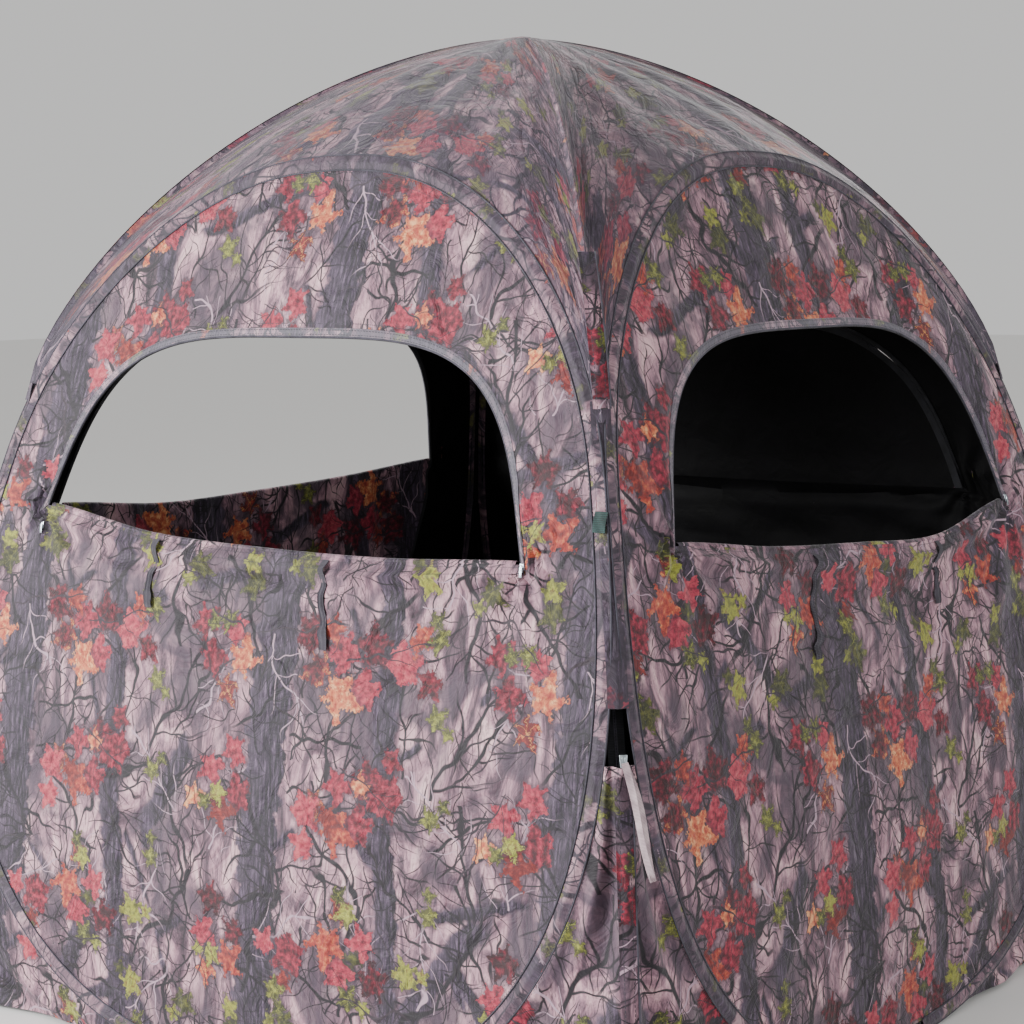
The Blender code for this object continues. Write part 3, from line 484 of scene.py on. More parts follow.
def printed_cloth(name, tint_and_painted_shade, strength, stitches, shift=(0.0, 0.0, 0.0), roll=0.0):
    """Printed polyester: the print, mixed towards a tint, with rows of stitching, weave and crumple. On the hems the
    tint is their own colour; on the roof and the sleeves it is a darkening that is painted shade.
    """
    material = bpy.data.materials.new(name)
    material.use_nodes = True
    tree = material.node_tree
    shader = tree.nodes["Principled BSDF"]
    uv = put(tree, "ShaderNodeUVMap", uv_map="Cloth")
    placed = put(tree, "ShaderNodeMapping", {"Vector": uv, "Location": shift, "Rotation": (0.0, 0.0, roll)})
    art = put(tree, "ShaderNodeGroup", {0: placed}, node_tree=woodland)
    # Mix towards the tint: the hems' own colour, and painted shade on the roof and the sleeves.
    base = put(tree, "ShaderNodeMix", {0: strength, 6: art, 7: colour(tint_and_painted_shade)}, data_type="RGBA")
    threads = put(tree, "ShaderNodeVectorMath", {0: uv, "Scale": math.tau / WEAVE}, operation="SCALE")
    axes = put(tree, "ShaderNodeSeparateXYZ", {0: threads})
    warp = put(tree, "ShaderNodeMath", {0: axes.outputs[0]}, operation="SINE")
    weft = put(tree, "ShaderNodeMath", {0: axes.outputs[1]}, operation="SINE")
    weave = put(tree, "ShaderNodeMath", {0: warp, 1: weft}, operation="MULTIPLY")
    crumple = put(tree, "ShaderNodeTexNoise", {"Vector": uv, "Scale": 17.0, "Detail": 5.0, "Roughness": 0.55,
                                               "Distortion": 0.7}, noise_dimensions="2D")
    crease_map = put(tree, "ShaderNodeTexVoronoi", {"Vector": crumple.outputs["Color"], "Scale": 3.0},
                     voronoi_dimensions="2D", feature="DISTANCE_TO_EDGE")
    crease = put(tree, "ShaderNodeMapRange", {0: crease_map.outputs[0], 1: 0.0, 2: 0.12})
    height = put(tree, "ShaderNodeMath", {0: weave, 1: 0.00004, 2: 0.0}, operation="MULTIPLY_ADD")
    folds = put(tree, "ShaderNodeMath", {0: crumple.outputs[0], 1: 0.011, 2: height}, operation="MULTIPLY_ADD")
    folded = put(tree, "ShaderNodeMath", {0: crease, 1: 0.0005, 2: folds}, operation="MULTIPLY_ADD")
    edge = put(tree, "ShaderNodeSeparateXYZ", {0: put(tree, "ShaderNodeUVMap", uv_map="Edge")})
    for inset in stitches:
        mask = stitch_mask(tree, edge, inset)
        base = put(tree, "ShaderNodeMix", {0: mask, 6: base, 7: colour("#2b2630")}, data_type="RGBA")
        folded = put(tree, "ShaderNodeMath", {0: mask, 1: 0.0006, 2: folded}, operation="MULTIPLY_ADD")
    bump = put(tree, "ShaderNodeBump", {"Height": folded, "Strength": 0.75, "Distance": 1.0})
    tree.links.new(base.outputs[2], shader.inputs["Base Color"])
    tree.links.new(bump.outputs[0], shader.inputs["Normal"])
    shader.inputs["Roughness"].default_value = 0.66
    shader.inputs["Specular IOR Level"].default_value = 0.36
    shader.inputs["Sheen Weight"].default_value = 0.22
    shader.inputs["Sheen Roughness"].default_value = 0.45
    return material


wall_cloth = {side: printed_cloth(f"Printed polyester, {side} wall", "#8a7d86", 0.0, (0.006, 0.019),
                                  shift=place) for side, place in
              (("front", (0.12, 0.05, 0.0)), ("right", (0.31, 0.22, 0.0)), ("back", (0.47, 0.37, 0.0)),
               ("left", (0.05, 0.51, 0.0)))}
# The roof's print is mixed 42% towards a dark grey-purple: painted shade, for a roof that gets less light than the
# walls.
roof_cloth_painted_shade = printed_cloth("Printed polyester, roof, painted shade", "#453c4b", 0.42, (0.006,), shift=(0.21, 0.60, 0.0))
gusset_cloth = printed_cloth("Printed polyester, gussets", "#8a7d86", 0.0, (0.006,), shift=(0.02, 0.33, 0.0))
# The sleeve print is mixed 40% towards a dark grey-purple: painted shade on the sleeve bands, and in the gap between
# the sleeves where the corner webs use it.
sleeve_cloth_painted_shade = printed_cloth("Printed polyester, sleeves, painted shade", "#463c49", 0.40, (0.0022, 0.0248),
                             shift=(0.4, 0.1, 0.0))
hem_cloth = printed_cloth("Printed polyester, turned hems", "#77747f", 0.45, (0.0035, 0.0105),
                          shift=(0.33, 0.2, 0.0))
print("cloth materials:", 4 + 4)

# %% [markdown]
# ## Small materials
# The inside of the shell has a black polyurethane coating, which gives a dull, slightly
# rubbery black with a faint orange-peel. Zip tape and webbing are woven with ribs across, and
# a grosgrain ribbon with finer ones. Sliders are die-cast zinc with nickel plate, worn at the
# edges, and the hoops are blued spring steel.
# %% Coating, tapes and metals


def new_material(name, roughness, metallic=0.0, specular=0.5):
    material = bpy.data.materials.new(name)
    material.use_nodes = True
    shader = material.node_tree.nodes["Principled BSDF"]
    shader.inputs["Roughness"].default_value = roughness
    shader.inputs["Metallic"].default_value = metallic
    shader.inputs["Specular IOR Level"].default_value = specular
    return material, material.node_tree, shader


def coated_cloth(name, dark, light):
    """Black polyurethane coating: soft blotches and a fine peel."""
    material, tree, shader = new_material(name, 0.72, specular=0.15)
    place = put(tree, "ShaderNodeTexCoord").outputs["Object"]
    blotch = put(tree, "ShaderNodeTexNoise", {"Vector": place, "Scale": 11.0, "Detail": 4.0})
    tone = put(tree, "ShaderNodeValToRGB", {0: blotch}, stops=((0.35, dark), (0.7, light)))
    peel = put(tree, "ShaderNodeTexNoise", {"Vector": place, "Scale": 420.0, "Detail": 2.0})
    crumple = put(tree, "ShaderNodeTexNoise", {"Vector": place, "Scale": 16.0, "Detail": 5.0, "Distortion": 0.6})
    height = put(tree, "ShaderNodeMath", {0: peel.outputs[0], 1: 0.0002}, operation="MULTIPLY")
    total = put(tree, "ShaderNodeMath", {0: crumple.outputs[0], 1: 0.008, 2: height}, operation="MULTIPLY_ADD")
    bump = put(tree, "ShaderNodeBump", {"Height": total, "Strength": 0.6, "Distance": 1.0})
    tree.links.new(tone.outputs[0], shader.inputs["Base Color"])
    tree.links.new(bump.outputs[0], shader.inputs["Normal"])
    return material


def ribbed_tape(name, dark, light, rib, roughness, uv_name="Cloth"):
    """Woven tape with ribs across it, rib metres apart, and a little fading."""
    material, tree, shader = new_material(name, roughness, specular=0.3)
    axes = put(tree, "ShaderNodeSeparateXYZ", {0: put(tree, "ShaderNodeUVMap", uv_map=uv_name)})
    turns = put(tree, "ShaderNodeMath", {0: axes.outputs[0], 1: math.tau / rib}, operation="MULTIPLY")
    ribs = put(tree, "ShaderNodeMath", {0: turns}, operation="SINE")
    place = put(tree, "ShaderNodeTexCoord").outputs["Object"]
    fade = put(tree, "ShaderNodeTexNoise", {"Vector": place, "Scale": 45.0, "Detail": 4.0})
    mixed = put(tree, "ShaderNodeMath", {0: ribs, 1: 0.12, 2: fade.outputs[0]}, operation="MULTIPLY_ADD")
    tone = put(tree, "ShaderNodeValToRGB", {0: mixed}, stops=((0.32, dark), (0.72, light)))
    height = put(tree, "ShaderNodeMath", {0: ribs, 1: rib * 0.12}, operation="MULTIPLY")
    bump = put(tree, "ShaderNodeBump", {"Height": height, "Strength": 0.8, "Distance": 1.0})
    tree.links.new(tone.outputs[0], shader.inputs["Base Color"])
    tree.links.new(bump.outputs[0], shader.inputs["Normal"])
    shader.inputs["Sheen Weight"].default_value = 0.15
    return material


def worn_metal(name, base, worn, roughness, grain):
    """Plated or blued metal: streaks of wear in colour and fine scratches."""
    material, tree, shader = new_material(name, roughness, metallic=1.0)
    place = put(tree, "ShaderNodeTexCoord").outputs["Object"]
    rub = put(tree, "ShaderNodeTexNoise", {"Vector": place, "Scale": 1.0 / grain, "Detail": 5.0, "Roughness": 0.7})
    tone = put(tree, "ShaderNodeValToRGB", {0: rub}, stops=((0.42, base), (0.68, worn)))
    gloss = put(tree, "ShaderNodeMapRange", {0: rub.outputs[0], 1: 0.3, 2: 0.7, 3: roughness + 0.12, 4: roughness})
    fine = put(tree, "ShaderNodeTexNoise", {"Vector": place, "Scale": 6.0 / grain, "Detail": 3.0})
    height = put(tree, "ShaderNodeMath", {0: fine.outputs[0], 1: grain * 0.05}, operation="MULTIPLY")
    bump = put(tree, "ShaderNodeBump", {"Height": height, "Strength": 0.5, "Distance": 1.0})
    tree.links.new(tone.outputs[0], shader.inputs["Base Color"])
    tree.links.new(gloss.outputs[0], shader.inputs["Roughness"])
    tree.links.new(bump.outputs[0], shader.inputs["Normal"])
    return material


black_coating = coated_cloth("Black polyurethane coating", "#060607", "#0d0c0f")
zip_tape = ribbed_tape("Black polyester zip tape", "#0e0f12", "#24242a", 0.0022, 0.75)
piping = ribbed_tape("Dark bias binding", "#2b2932", "#4a4753", 0.0016, 0.8)
webbing = ribbed_tape("Dark teal nylon webbing", "#10211f", "#274240", 0.0030, 0.7)
strap_webbing = ribbed_tape("Grey-black strap webbing", "#242129", "#413c47", 0.0024, 0.7)
grosgrain = ribbed_tape("Pale grosgrain ribbon", "#8d7880", "#c9b4b8", 0.0020, 0.7)
nickel = worn_metal("Nickel-plated zinc", "#9aa4ab", "#c6ced2", 0.30, 0.004)
blued_steel = worn_metal("Blued spring steel", "#23252b", "#4b4d52", 0.36, 0.012)
zinc_plate = worn_metal("Zinc-plated steel crimp", "#8e9091", "#b4b5b3", 0.42, 0.006)
brass = worn_metal("Blackened brass eyelet", "#3a342b", "#6d6250", 0.45, 0.005)
print("materials:", len(bpy.data.materials))

# %% [markdown]
# ## Sheets of cloth
# A sheet is a grid of points with two UV maps: Cloth, in metres on the roll, carries the
# print and weave, and Edge, in metres along and in from a seam, carries the stitching. It is
# given its thickness by Solidify, whose second material is the black coating inside.
# %% Sewing helpers


def select_only(piece):
    bpy.ops.object.select_all(action="DESELECT")
    piece.select_set(True)
    bpy.context.view_layer.objects.active = piece


def apply_modifiers(piece):
    select_only(piece)
    for modifier in list(piece.modifiers):
        bpy.ops.object.modifier_apply(modifier=modifier.name)


def sheet_of(name, rows, outward, cloth_uv, edge_uv, materials, closed=False):
    """Sheet through a grid of points. closed joins each row's last point to its first."""
    columns = len(rows[0]) - (1 if closed else 0)
    points = [point for row in rows for point in row[:columns]]
    faces, cloth_map, edge_map = [], [], []
    for r in range(len(rows) - 1):
        for c in range(len(rows[0]) - 1):
            corners = ((r, c), (r, c + 1), (r + 1, c + 1), (r + 1, c))
            faces.append([row * columns + column % columns for row, column in corners])
            cloth_map.append([cloth_uv(row, column) for row, column in corners])
            edge_map.append([edge_uv(row, column) for row, column in corners])
    mesh = bpy.data.meshes.new(name)
    mesh.from_pydata(points, [], faces)
    for title, values in (("Cloth", cloth_map), ("Edge", edge_map)):
        layer_map = mesh.uv_layers.new(name=title)
        layer_map.data.foreach_set("uv", [number for face in values for pair in face for number in pair])
    shape = bmesh.new()
    shape.from_mesh(mesh)
    bmesh.ops.remove_doubles(shape, verts=shape.verts, dist=0.00002)
    if sum(face.normal.dot(outward) * face.calc_area() for face in shape.faces) < 0:
        bmesh.ops.reverse_faces(shape, faces=shape.faces)
    shape.to_mesh(mesh)
    shape.free()
    for material in materials:
        mesh.materials.append(material)
    piece = bpy.data.objects.new(name, mesh)
    bpy.context.scene.collection.objects.link(piece)
    return piece


def thicken(piece, thickness=CLOTH, offset=-1.0):
    """Give a sheet its thickness, its second material inside, and smooth shading."""
    solid = piece.modifiers.new("Thickness", "SOLIDIFY")
    solid.thickness = thickness
    solid.offset = offset
    solid.material_offset = len(piece.data.materials) - 1
    apply_modifiers(piece)
    select_only(piece)
    bpy.ops.object.shade_smooth_by_angle(angle=math.radians(50))
    return piece


def flat_size(piece):
    """Area of one face of a thickened sheet, in square metres."""
    return sum(polygon.area for polygon in piece.data.polygons) / 2


def turn_to(piece, side):
    """Turn a piece drawn on the front wall to its own side."""
    piece.data.transform(Matrix.Rotation(side * math.pi / 2, 4, "Z"))
    return piece


# %% [markdown]
# ## Wall panels
# A wall is one cloth between the hoop's sleeve and the window. It is drawn as rings of points,
# from the sleeve in to the window's edge, so both edges are clean curves. The cloth is not
# flat: it quilts between seams, puckers at the window's lower corners, and below the sill a
# sewn pocket and the slack of the dropped window make rounded folds. These come from a few
# noise fields, strongest where the cloth is free and gone at the sewn edges.
# %% Folds in a wall
PANEL_COLUMNS = 320
PANEL_ROWS = 54
QUILT = 0.010                # metres of billow between seams
POCKET_DROP = 0.15           # metres from the sill to the pocket's lower seam


def billow(side, across, height):
    """How far the wall cloth stands out from its hoop's surface, in metres."""
    seed = SIDES.index(side) * 7.3
    quilt = noise.fractal(Vector((across * 2.6, height * 2.2, seed)), 1.0, 2.0, 3) * QUILT
    tall = noise.noise(Vector((across * 11.0, height * 2.4, seed + 3.0))) * 0.0045
    sill = sill_height(side, max(-WINDOW_HALF_WIDTH, min(WINDOW_HALF_WIDTH, across)))
    below = sill - height
    inside = 1.0 - smooth(abs(across), 0.40, 0.58)
    folds = 0.0
    if below > 0:
        hang = smooth(below, 0.0, 0.02) * (1.0 - smooth(below, POCKET_DROP * 0.8, POCKET_DROP * 1.5))
        wave = noise.noise(Vector((across * 5.0 + below * 9.0, below * 17.0, seed + 9.0)))
        folds = hang * inside * (0.006 + 0.016 * wave)
        folds += inside * (0.009 * math.exp(-((below - 0.019) / 0.012) ** 2)
                           - 0.005 * math.exp(-((below - 0.044) / 0.010) ** 2))
        seam = math.exp(-((below - POCKET_DROP - 0.02 * noise.noise(Vector((across * 3, seed, 0)))) / 0.007) ** 2)
        folds -= 0.005 * seam * (1.0 - smooth(abs(across), 0.30, 0.42))
    corner = math.hypot(abs(across) - WINDOW_HALF_WIDTH, height - sill)
    pucker = math.exp(-(corner / 0.14) ** 2) * 0.006
    rays = math.sin(8.0 * math.atan2(height - sill, abs(across) - WINDOW_HALF_WIDTH + 0.001))
    return quilt + tall + folds + pucker * rays


def make_panel(side):
    """Wall cloth with its folds, from the sleeve in to the window."""
    rows, places = [], []
    for row in range(PANEL_ROWS + 1):
        share = row / PANEL_ROWS
        points, flat = [], []
        for column in range(PANEL_COLUMNS + 1):
            place = column / PANEL_COLUMNS * STATIONS
            seam = hoop_station(place - SILL_STATION, 0.003 - SLEEVE_WIDTH / 2)
            spot = seam.lerp(window_edge(side, place, 0.002), share)
            gap = (window_edge(side, place) - seam).length
            free = smooth(share * gap, 0.0, 0.05) * smooth((1.0 - share) * gap, 0.0, 0.03)
            points.append(wall_point(spot.x, spot.y, billow(side, spot.x, spot.y) * free))
            flat.append((spot.x, spot.y * 1.02, place * 0.125, min(share, 1.0 - share) * gap, share * gap))
        rows.append(points)
        places.append(flat)

    def edge_place(row, column):
        along, near, outer = places[row][column][2:]
        return (along, near if outer > near else outer)

    piece = sheet_of(f"wall_{side}", rows, Vector((0, -1, 0)), lambda r, c: places[r][c][:2], edge_place,
                     (wall_cloth[side], black_coating), closed=True)
    thicken(piece)
    turn_to(piece, SIDES.index(side))
    return piece


walls = {}
for side in SIDES:
    walls[side] = make_panel(side)
    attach(walls[side], "shell")
    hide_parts(f"panel_{side}")
print("walls:", {side: len(piece.data.polygons) for side, piece in walls.items()})

# %% [markdown]
# ## Hoops and sleeves
# The sprung hoop runs in a flat tube of the same cloth, sewn shut along both edges. Across, it
# is a lens: thick over the wire in the middle, thin at the stitched edges. The tube is open
# for a hand's width at the bottom, where the crimp that joins the wire's ends can be reached.
# %% Sleeves
SLEEVE_STATIONS = 240
SLEEVE_MOUTH = 0.22          # open share of a station, each side of the crimp


def sleeve_section(place, side):
    """Ring of points around the flat tube at one place along the hoop."""
    across, height = hoop_station(place)
    normal = wall_normal(height)
    centre = wall_point(across, height)
    ahead = wall_point(*hoop_station(place + 0.1)) - wall_point(*hoop_station(place - 0.1))
    sideways = ahead.normalized().cross(normal).normalized()
    pucker = noise.noise(Vector((place * 4.0, SIDES.index(side) * 5.0, 0.0))) * 0.0009
    profile = ((1.0, 0.0), (0.86, 0.16), (0.55, 0.30), (0.24, 0.80), (0.0, 1.0), (-0.24, 0.80),
               (-0.55, 0.30), (-0.86, 0.16), (-1.0, 0.0), (-0.86, -0.16), (-0.4, -0.5), (0.0, -0.8),
               (0.4, -0.5), (0.86, -0.16))
    return [centre + sideways * across_share * (SLEEVE_WIDTH / 2 + pucker)
            + normal * (depth_share * SLEEVE_DEPTH / 2) for across_share, depth_share in profile]


def make_sleeve(side):
    first, last = -TOP_STATIONS + SLEEVE_MOUTH, -TOP_STATIONS + STATIONS - SLEEVE_MOUTH
    places = [first + (last - first) * step / SLEEVE_STATIONS for step in range(SLEEVE_STATIONS + 1)]
    rows = [sleeve_section(place, side) for place in places]
    rows = [row + row[:1] for row in rows]
    lengths = [0.0]
    for before, here in zip(rows, rows[1:]):
        lengths.append(lengths[-1] + (here[4] - before[4]).length)
    round_share = (0.0, 0.002, 0.006, 0.010, 0.0135, 0.017, 0.021, 0.025, 0.027, 0.029, 0.035, 0.0405,
                   0.046, 0.052, 0.054)
    piece = sheet_of(f"sleeve_band_{side}", rows, Vector((0, 0, 0)),
                     lambda r, c: (lengths[r], round_share[c]), lambda r, c: (lengths[r], round_share[c]),
                     (sleeve_cloth_painted_shade, black_coating), closed=True)
    shape = bmesh.new()
    shape.from_mesh(piece.data)
    bmesh.ops.recalc_face_normals(shape, faces=shape.faces)
    shape.to_mesh(piece.data)
    shape.free()
    thicken(piece, 0.0006)
    turn_to(piece, SIDES.index(side))
    return piece


sleeves = {}
for side in SIDES:
    sleeves[side] = make_sleeve(side)
    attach(sleeves[side], "shell")
    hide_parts(f"sleeve_{side}")
    for kind, finish in (("hoop", blued_steel), ("ferrule", zinc_plate)):
        frame["nodes"][f"{kind}_{side}"].data.materials.clear()
        frame["nodes"][f"{kind}_{side}"].data.materials.append(finish)
print("sleeves:", len(sleeves), "of", round(SLEEVE_STATIONS), "stations")

# %% [markdown]
# ## Window hems, binding and zip tape
# Around its arch the wall cloth is turned under and stitched, bound with a dark bias tape at
# the very edge, and backed by half of a zip. All three are strips that follow the arch, so
# one function sweeps a strip along it, lying on the folds of the wall.
# %% Strips around a window
ARCH_STEPS = 176


def wall_spot(side, place, inset, out):
    """Point on the folded wall cloth, inset metres from the window's edge, and out from the cloth."""
    seam = hoop_station(place - SILL_STATION, 0.003 - SLEEVE_WIDTH / 2)
    edge = window_edge(side, place)
    gap = (edge - seam).length
    spot = edge.lerp(seam, inset / gap)
    free = smooth(gap - inset, 0.0, 0.05) * smooth(inset, 0.0, 0.03)
    return wall_point(spot.x, spot.y, billow(side, spot.x, spot.y) * free + out)


def arch_strip(name, side, bands, materials, thickness):
    """Strip around the arch: bands are (inset, out) pairs, from one edge of the strip to the other."""
    places = [WINDOW_STATIONS * step / ARCH_STEPS for step in range(ARCH_STEPS + 1)]
    rows = [[wall_spot(side, place, inset, out) for place in places] for inset, out in bands]
    lengths = [0.0]
    for before, here in zip(rows[0], rows[0][1:]):
        lengths.append(lengths[-1] + (here - before).length)
    insets = [abs(inset - bands[0][0]) for inset, out in bands]
    piece = sheet_of(name, rows, Vector((0, -1, 0)), lambda r, c: (lengths[c], insets[r]),
                     lambda r, c: (lengths[c], insets[r]), materials)
    thicken(piece, thickness)
    turn_to(piece, SIDES.index(side))
    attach(piece, "shell")
    return piece


def tube_of(name, path, radius, material, sides=8):
    """Round cord or bead along a path, closed to a point at each end. Its radii repeat along it."""
    rows = []
    radii = radius if isinstance(radius, list) else [radius]
    for index, point in enumerate(path):
        ahead = path[min(index + 1, len(path) - 1)] - path[max(index - 1, 0)]
        aside = ahead.cross(Vector((0.31, -0.55, 0.77))).normalized()
        above = ahead.cross(aside).normalized()
        ring = [point + (aside * math.cos(math.tau * step / sides) + above * math.sin(math.tau * step / sides))
                * radii[index % len(radii)] for step in range(sides + 1)]
        rows.append(ring)
    rows = [[path[0]] * (sides + 1)] + rows + [[path[-1]] * (sides + 1)]
    lengths = [0.0]
    for before, here in zip(rows, rows[1:]):
        lengths.append(lengths[-1] + (here[0] - before[0]).length)
    piece = sheet_of(name, rows, Vector((0, 0, 0)), lambda r, c: (lengths[r], c * radii[0]),
                     lambda r, c: (lengths[r], c * radii[0]), (material,), closed=True)
    select_only(piece)
    bpy.ops.object.mode_set(mode="EDIT")
    bpy.ops.mesh.select_all(action="SELECT")
    bpy.ops.mesh.normals_make_consistent(inside=False)
    bpy.ops.object.mode_set(mode="OBJECT")
    bpy.ops.object.shade_smooth()
    return piece


def make_sleeve_seam_shadow_cord(side, name, offset, out):
    """Dark cord along one edge of a sleeve: partly the sewn seam, partly painted shadow, standing in for the dark
    shadow line along the sleeve's edge.
    """
    count = 300
    first, last = -TOP_STATIONS + SLEEVE_MOUTH, -TOP_STATIONS + STATIONS - SLEEVE_MOUTH
    places = [first + (last - first) * step / count for step in range(count + 1)]
    cord = tube_of(f"{name}_{side}", [wall_point(*hoop_station(place, offset), out) for place in places],
                   0.0013, piping, sides=6)
    turn_to(cord, SIDES.index(side))
    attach(cord, "shell")
    return cord


def make_window_edge(side):
    hem = arch_strip(f"window_hem_{side}", side, ((0.0, 0.0004), (0.003, 0.0016), (0.007, 0.0014),
                     (0.011, 0.0018), (0.014, 0.0003)), (hem_cloth, hem_cloth), 0.0008)
    tape = arch_strip(f"window_tape_{side}", side, ((-0.0015, -0.0022), (0.003, -0.0034), (0.008, -0.0030)),
                      (zip_tape, zip_tape), 0.0010)
    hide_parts(f"window_zip_{side}")
    places = [WINDOW_STATIONS * step / ARCH_STEPS for step in range(ARCH_STEPS + 1)]
    binding = tube_of(f"window_binding_{side}", [wall_spot(side, place, 0.0002, -0.0006) for place in places],
                      0.0019, piping)
    turn_to(binding, SIDES.index(side))
    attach(binding, "shell")
    return [hem, tape, binding]


window_edges = {side: make_window_edge(side) for side in SIDES}
# Dark cords on both edges of each sleeve: seams, and painted shadow for the shadow lines that bound the sleeve band.
sleeve_seam_shadow_cords = {side: [make_sleeve_seam_shadow_cord(side, "sleeve_inner_seam_shadow_cord", 0.0005 - SLEEVE_WIDTH / 2, 0.0012),
                       make_sleeve_seam_shadow_cord(side, "sleeve_outer_seam_shadow_cord", SLEEVE_WIDTH / 2 - 0.0008, 0.0002)]
                for side in SIDES}
print("window edges:", sum(len(pieces) for pieces in window_edges.values()), "strips")

# %% [markdown]
# ## Window flaps
# Each window's cloth is one with the wall below it. Dropped, it rolls over the sill and hangs
# inside, printed face to the room. Its grid of points is a half square stretched into the
# arch, so that no cell is thin, and the rows before it make the roll over the sill. A cloth
# simulation gives the hang: the roll is held, the rest falls, and the cloth is told to be a
# little larger than drawn so that it makes folds. The modifier is applied, so the piece is a
# plain mesh again. The closed flap of the back wall stands in its window and needs no fall.
# %% Flap rows
FLAP_COLUMNS = 72
FLAP_ROWS = 30
ROLL_ROWS = 8
FLAP_INSET = 0.011           # between the flap's edge and the window's, where the zip is
FALL_FRAMES = 24
HANGING = ("front", "right", "left")


def arch_share(across, up):
    """Stretch a half square, across from -1 to 1 and up from 0 to 1, into the window's arch."""
    reach = max(abs(across), up)
    if reach < 0.0001:
        return 0.0, 0.0
    stretch = (abs(across / reach) ** WINDOW_ROUND + (up / reach) ** WINDOW_ROUND) ** (-1.0 / WINDOW_ROUND)
    return across * stretch, up * stretch


def flap_rows(side):
    """Rows from the wall's sill edge, over the fold, and on to the far edge of the flap."""
    rows, places = [], []
    reach = WINDOW_TOP - SILL_HEIGHT - FLAP_INSET
    for row in range(ROLL_ROWS + FLAP_ROWS + 1):
        turned = math.pi * min(row, ROLL_ROWS) / ROLL_ROWS
        points, flat = [], []
        for column in range(FLAP_COLUMNS + 1):
            spread, share = arch_share(2.0 * column / FLAP_COLUMNS - 1.0, max(0, row - ROLL_ROWS) / FLAP_ROWS)
            across = (WINDOW_HALF_WIDTH - FLAP_INSET) * (1.0 - WINDOW_TAPER * share) * spread
            drop = share * reach
            sill = sill_height(side, across)
            inward = FOLD_SETBACK * 0.5 * (1.0 - math.cos(turned)) - wall_distance(sill)
            up = FOLD_SETBACK * 0.5 * math.sin(turned)
            wave = noise.noise(Vector((across * 6.0, drop * 2.5, SIDES.index(side) * 3.1)))
            if side in HANGING:
                point = Vector((across, inward + wave * 0.012 * smooth(drop, 0.0, 0.1), sill + up - drop))
            else:
                height = sill + share * (WINDOW_TOP - FLAP_INSET - sill)
                near = min((1.0 - abs(spread)) * WINDOW_HALF_WIDTH, reach - drop)
                back = 0.0040 + (FOLD_SETBACK - 0.0040) * smooth(0.06 - drop, 0.0, 0.06)
                back += wave * 0.006 * smooth(near, 0.0, 0.08) * smooth(drop, 0.0, 0.06)
                if row < ROLL_ROWS:
                    back = FOLD_SETBACK * 0.5 * (1.0 - math.cos(turned))
                point = Vector((across, back - wall_distance(height), height + up))
            points.append(point)
            near = min((1.0 - abs(spread)) * WINDOW_HALF_WIDTH, reach - drop)
            flat.append((across, SILL_HEIGHT * 1.02 + FOLD_SETBACK * 0.5 * turned + drop, across, near))
        rows.append(points)
        places.append(flat)
    return rows, places


# %% Let a hanging flap fall
def let_fall(piece):
    """Hang the cloth from its roll, and keep the settled shape."""
    group = piece.vertex_groups.new(name="Roll")
    group.add(list(range((ROLL_ROWS + 1) * (FLAP_COLUMNS + 1))), 1.0, "REPLACE")
    fall = piece.modifiers.new("Fall", "CLOTH")
    fall.settings.quality = 6
    fall.settings.mass = 0.15
    fall.settings.vertex_group_mass = "Roll"
    fall.settings.bending_stiffness = 0.6
    fall.settings.shrink_min = -0.035
    fall.settings.air_damping = 3.0
    fall.collision_settings.use_self_collision = False
    fall.collision_settings.use_collision = False
    for number in range(1, FALL_FRAMES + 1):
        bpy.context.scene.frame_set(number)
    apply_modifiers(piece)
    bpy.context.scene.frame_set(1)
    piece.vertex_groups.clear()


# %% [markdown]
# The other half of the zip is sewn around the flap's free edge. It is swept along the edge of
# the settled flap, so it keeps to every fold.
# %% Flaps and their zip tapes
def edge_strip(rows, wide, inset):
    """Rows of a strip along the flap's free edge, from inset inside it to wide outside it."""
    last, end = len(rows) - 1, FLAP_COLUMNS
    around = [(row, 0, row, 1) for row in range(ROLL_ROWS, last)] + [(last, 0, last - 1, 1)]
    around += [(last, column, last - 1, column) for column in range(1, end)] + [(last, end, last - 1, end - 1)]
    around += [(row, end, row, end - 1) for row in range(last - 1, ROLL_ROWS - 1, -1)]
    edge = [rows[row][column] for row, column, _, _ in around]
    ways = [(rows[row][column] - rows[r][c]).normalized() for row, column, r, c in around]
    return [[point + way * reach for point, way in zip(edge, ways)] for reach in (-inset, 0.0, wide)]


def make_flap(side):
    """A flap and the zip tape on its free edge."""
    rows, places = flap_rows(side)
    hanging = side in HANGING
    outward = Vector((0, 1, 0)) if hanging else Vector((0, -1, 0))
    piece = sheet_of(f"window_flap_{side}", rows, outward, lambda r, c: places[r][c][:2],
                     lambda r, c: places[r][c][2:], (wall_cloth[side], black_coating))
    if hanging:
        let_fall(piece)
    wide = FLAP_COLUMNS + 1
    settled = [[vertex.co.copy() for vertex in piece.data.vertices[row * wide:row * wide + wide]]
               for row in range(len(rows))]
    strip = edge_strip(settled, 0.006 if hanging else 0.013, 0.003)
    steps = [0.0]
    for before, here in zip(strip[1], strip[1][1:]):
        steps.append(steps[-1] + (here - before).length)
    tape = sheet_of(f"flap_tape_{side}", strip, outward, lambda r, c: (steps[c], r * 0.004),
                    lambda r, c: (steps[c], r * 0.004), (zip_tape,))
    for part, thickness, offset in ((piece, CLOTH, 0.0), (tape, 0.0022, 0.0)):
        thicken(part, thickness, offset)
        turn_to(part, SIDES.index(side))
    return piece, tape


flaps = {}
for side in SIDES:
    flap, tape = make_flap(side)
    for part in (flap, tape):
        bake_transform(part)
    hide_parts(f"flap_{side}")
    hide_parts(f"flap_zip_{side}")
    flaps[side] = flap
print("flaps:", {side: round(flat_size(piece), 3) for side, piece in flaps.items()}, "square metres")

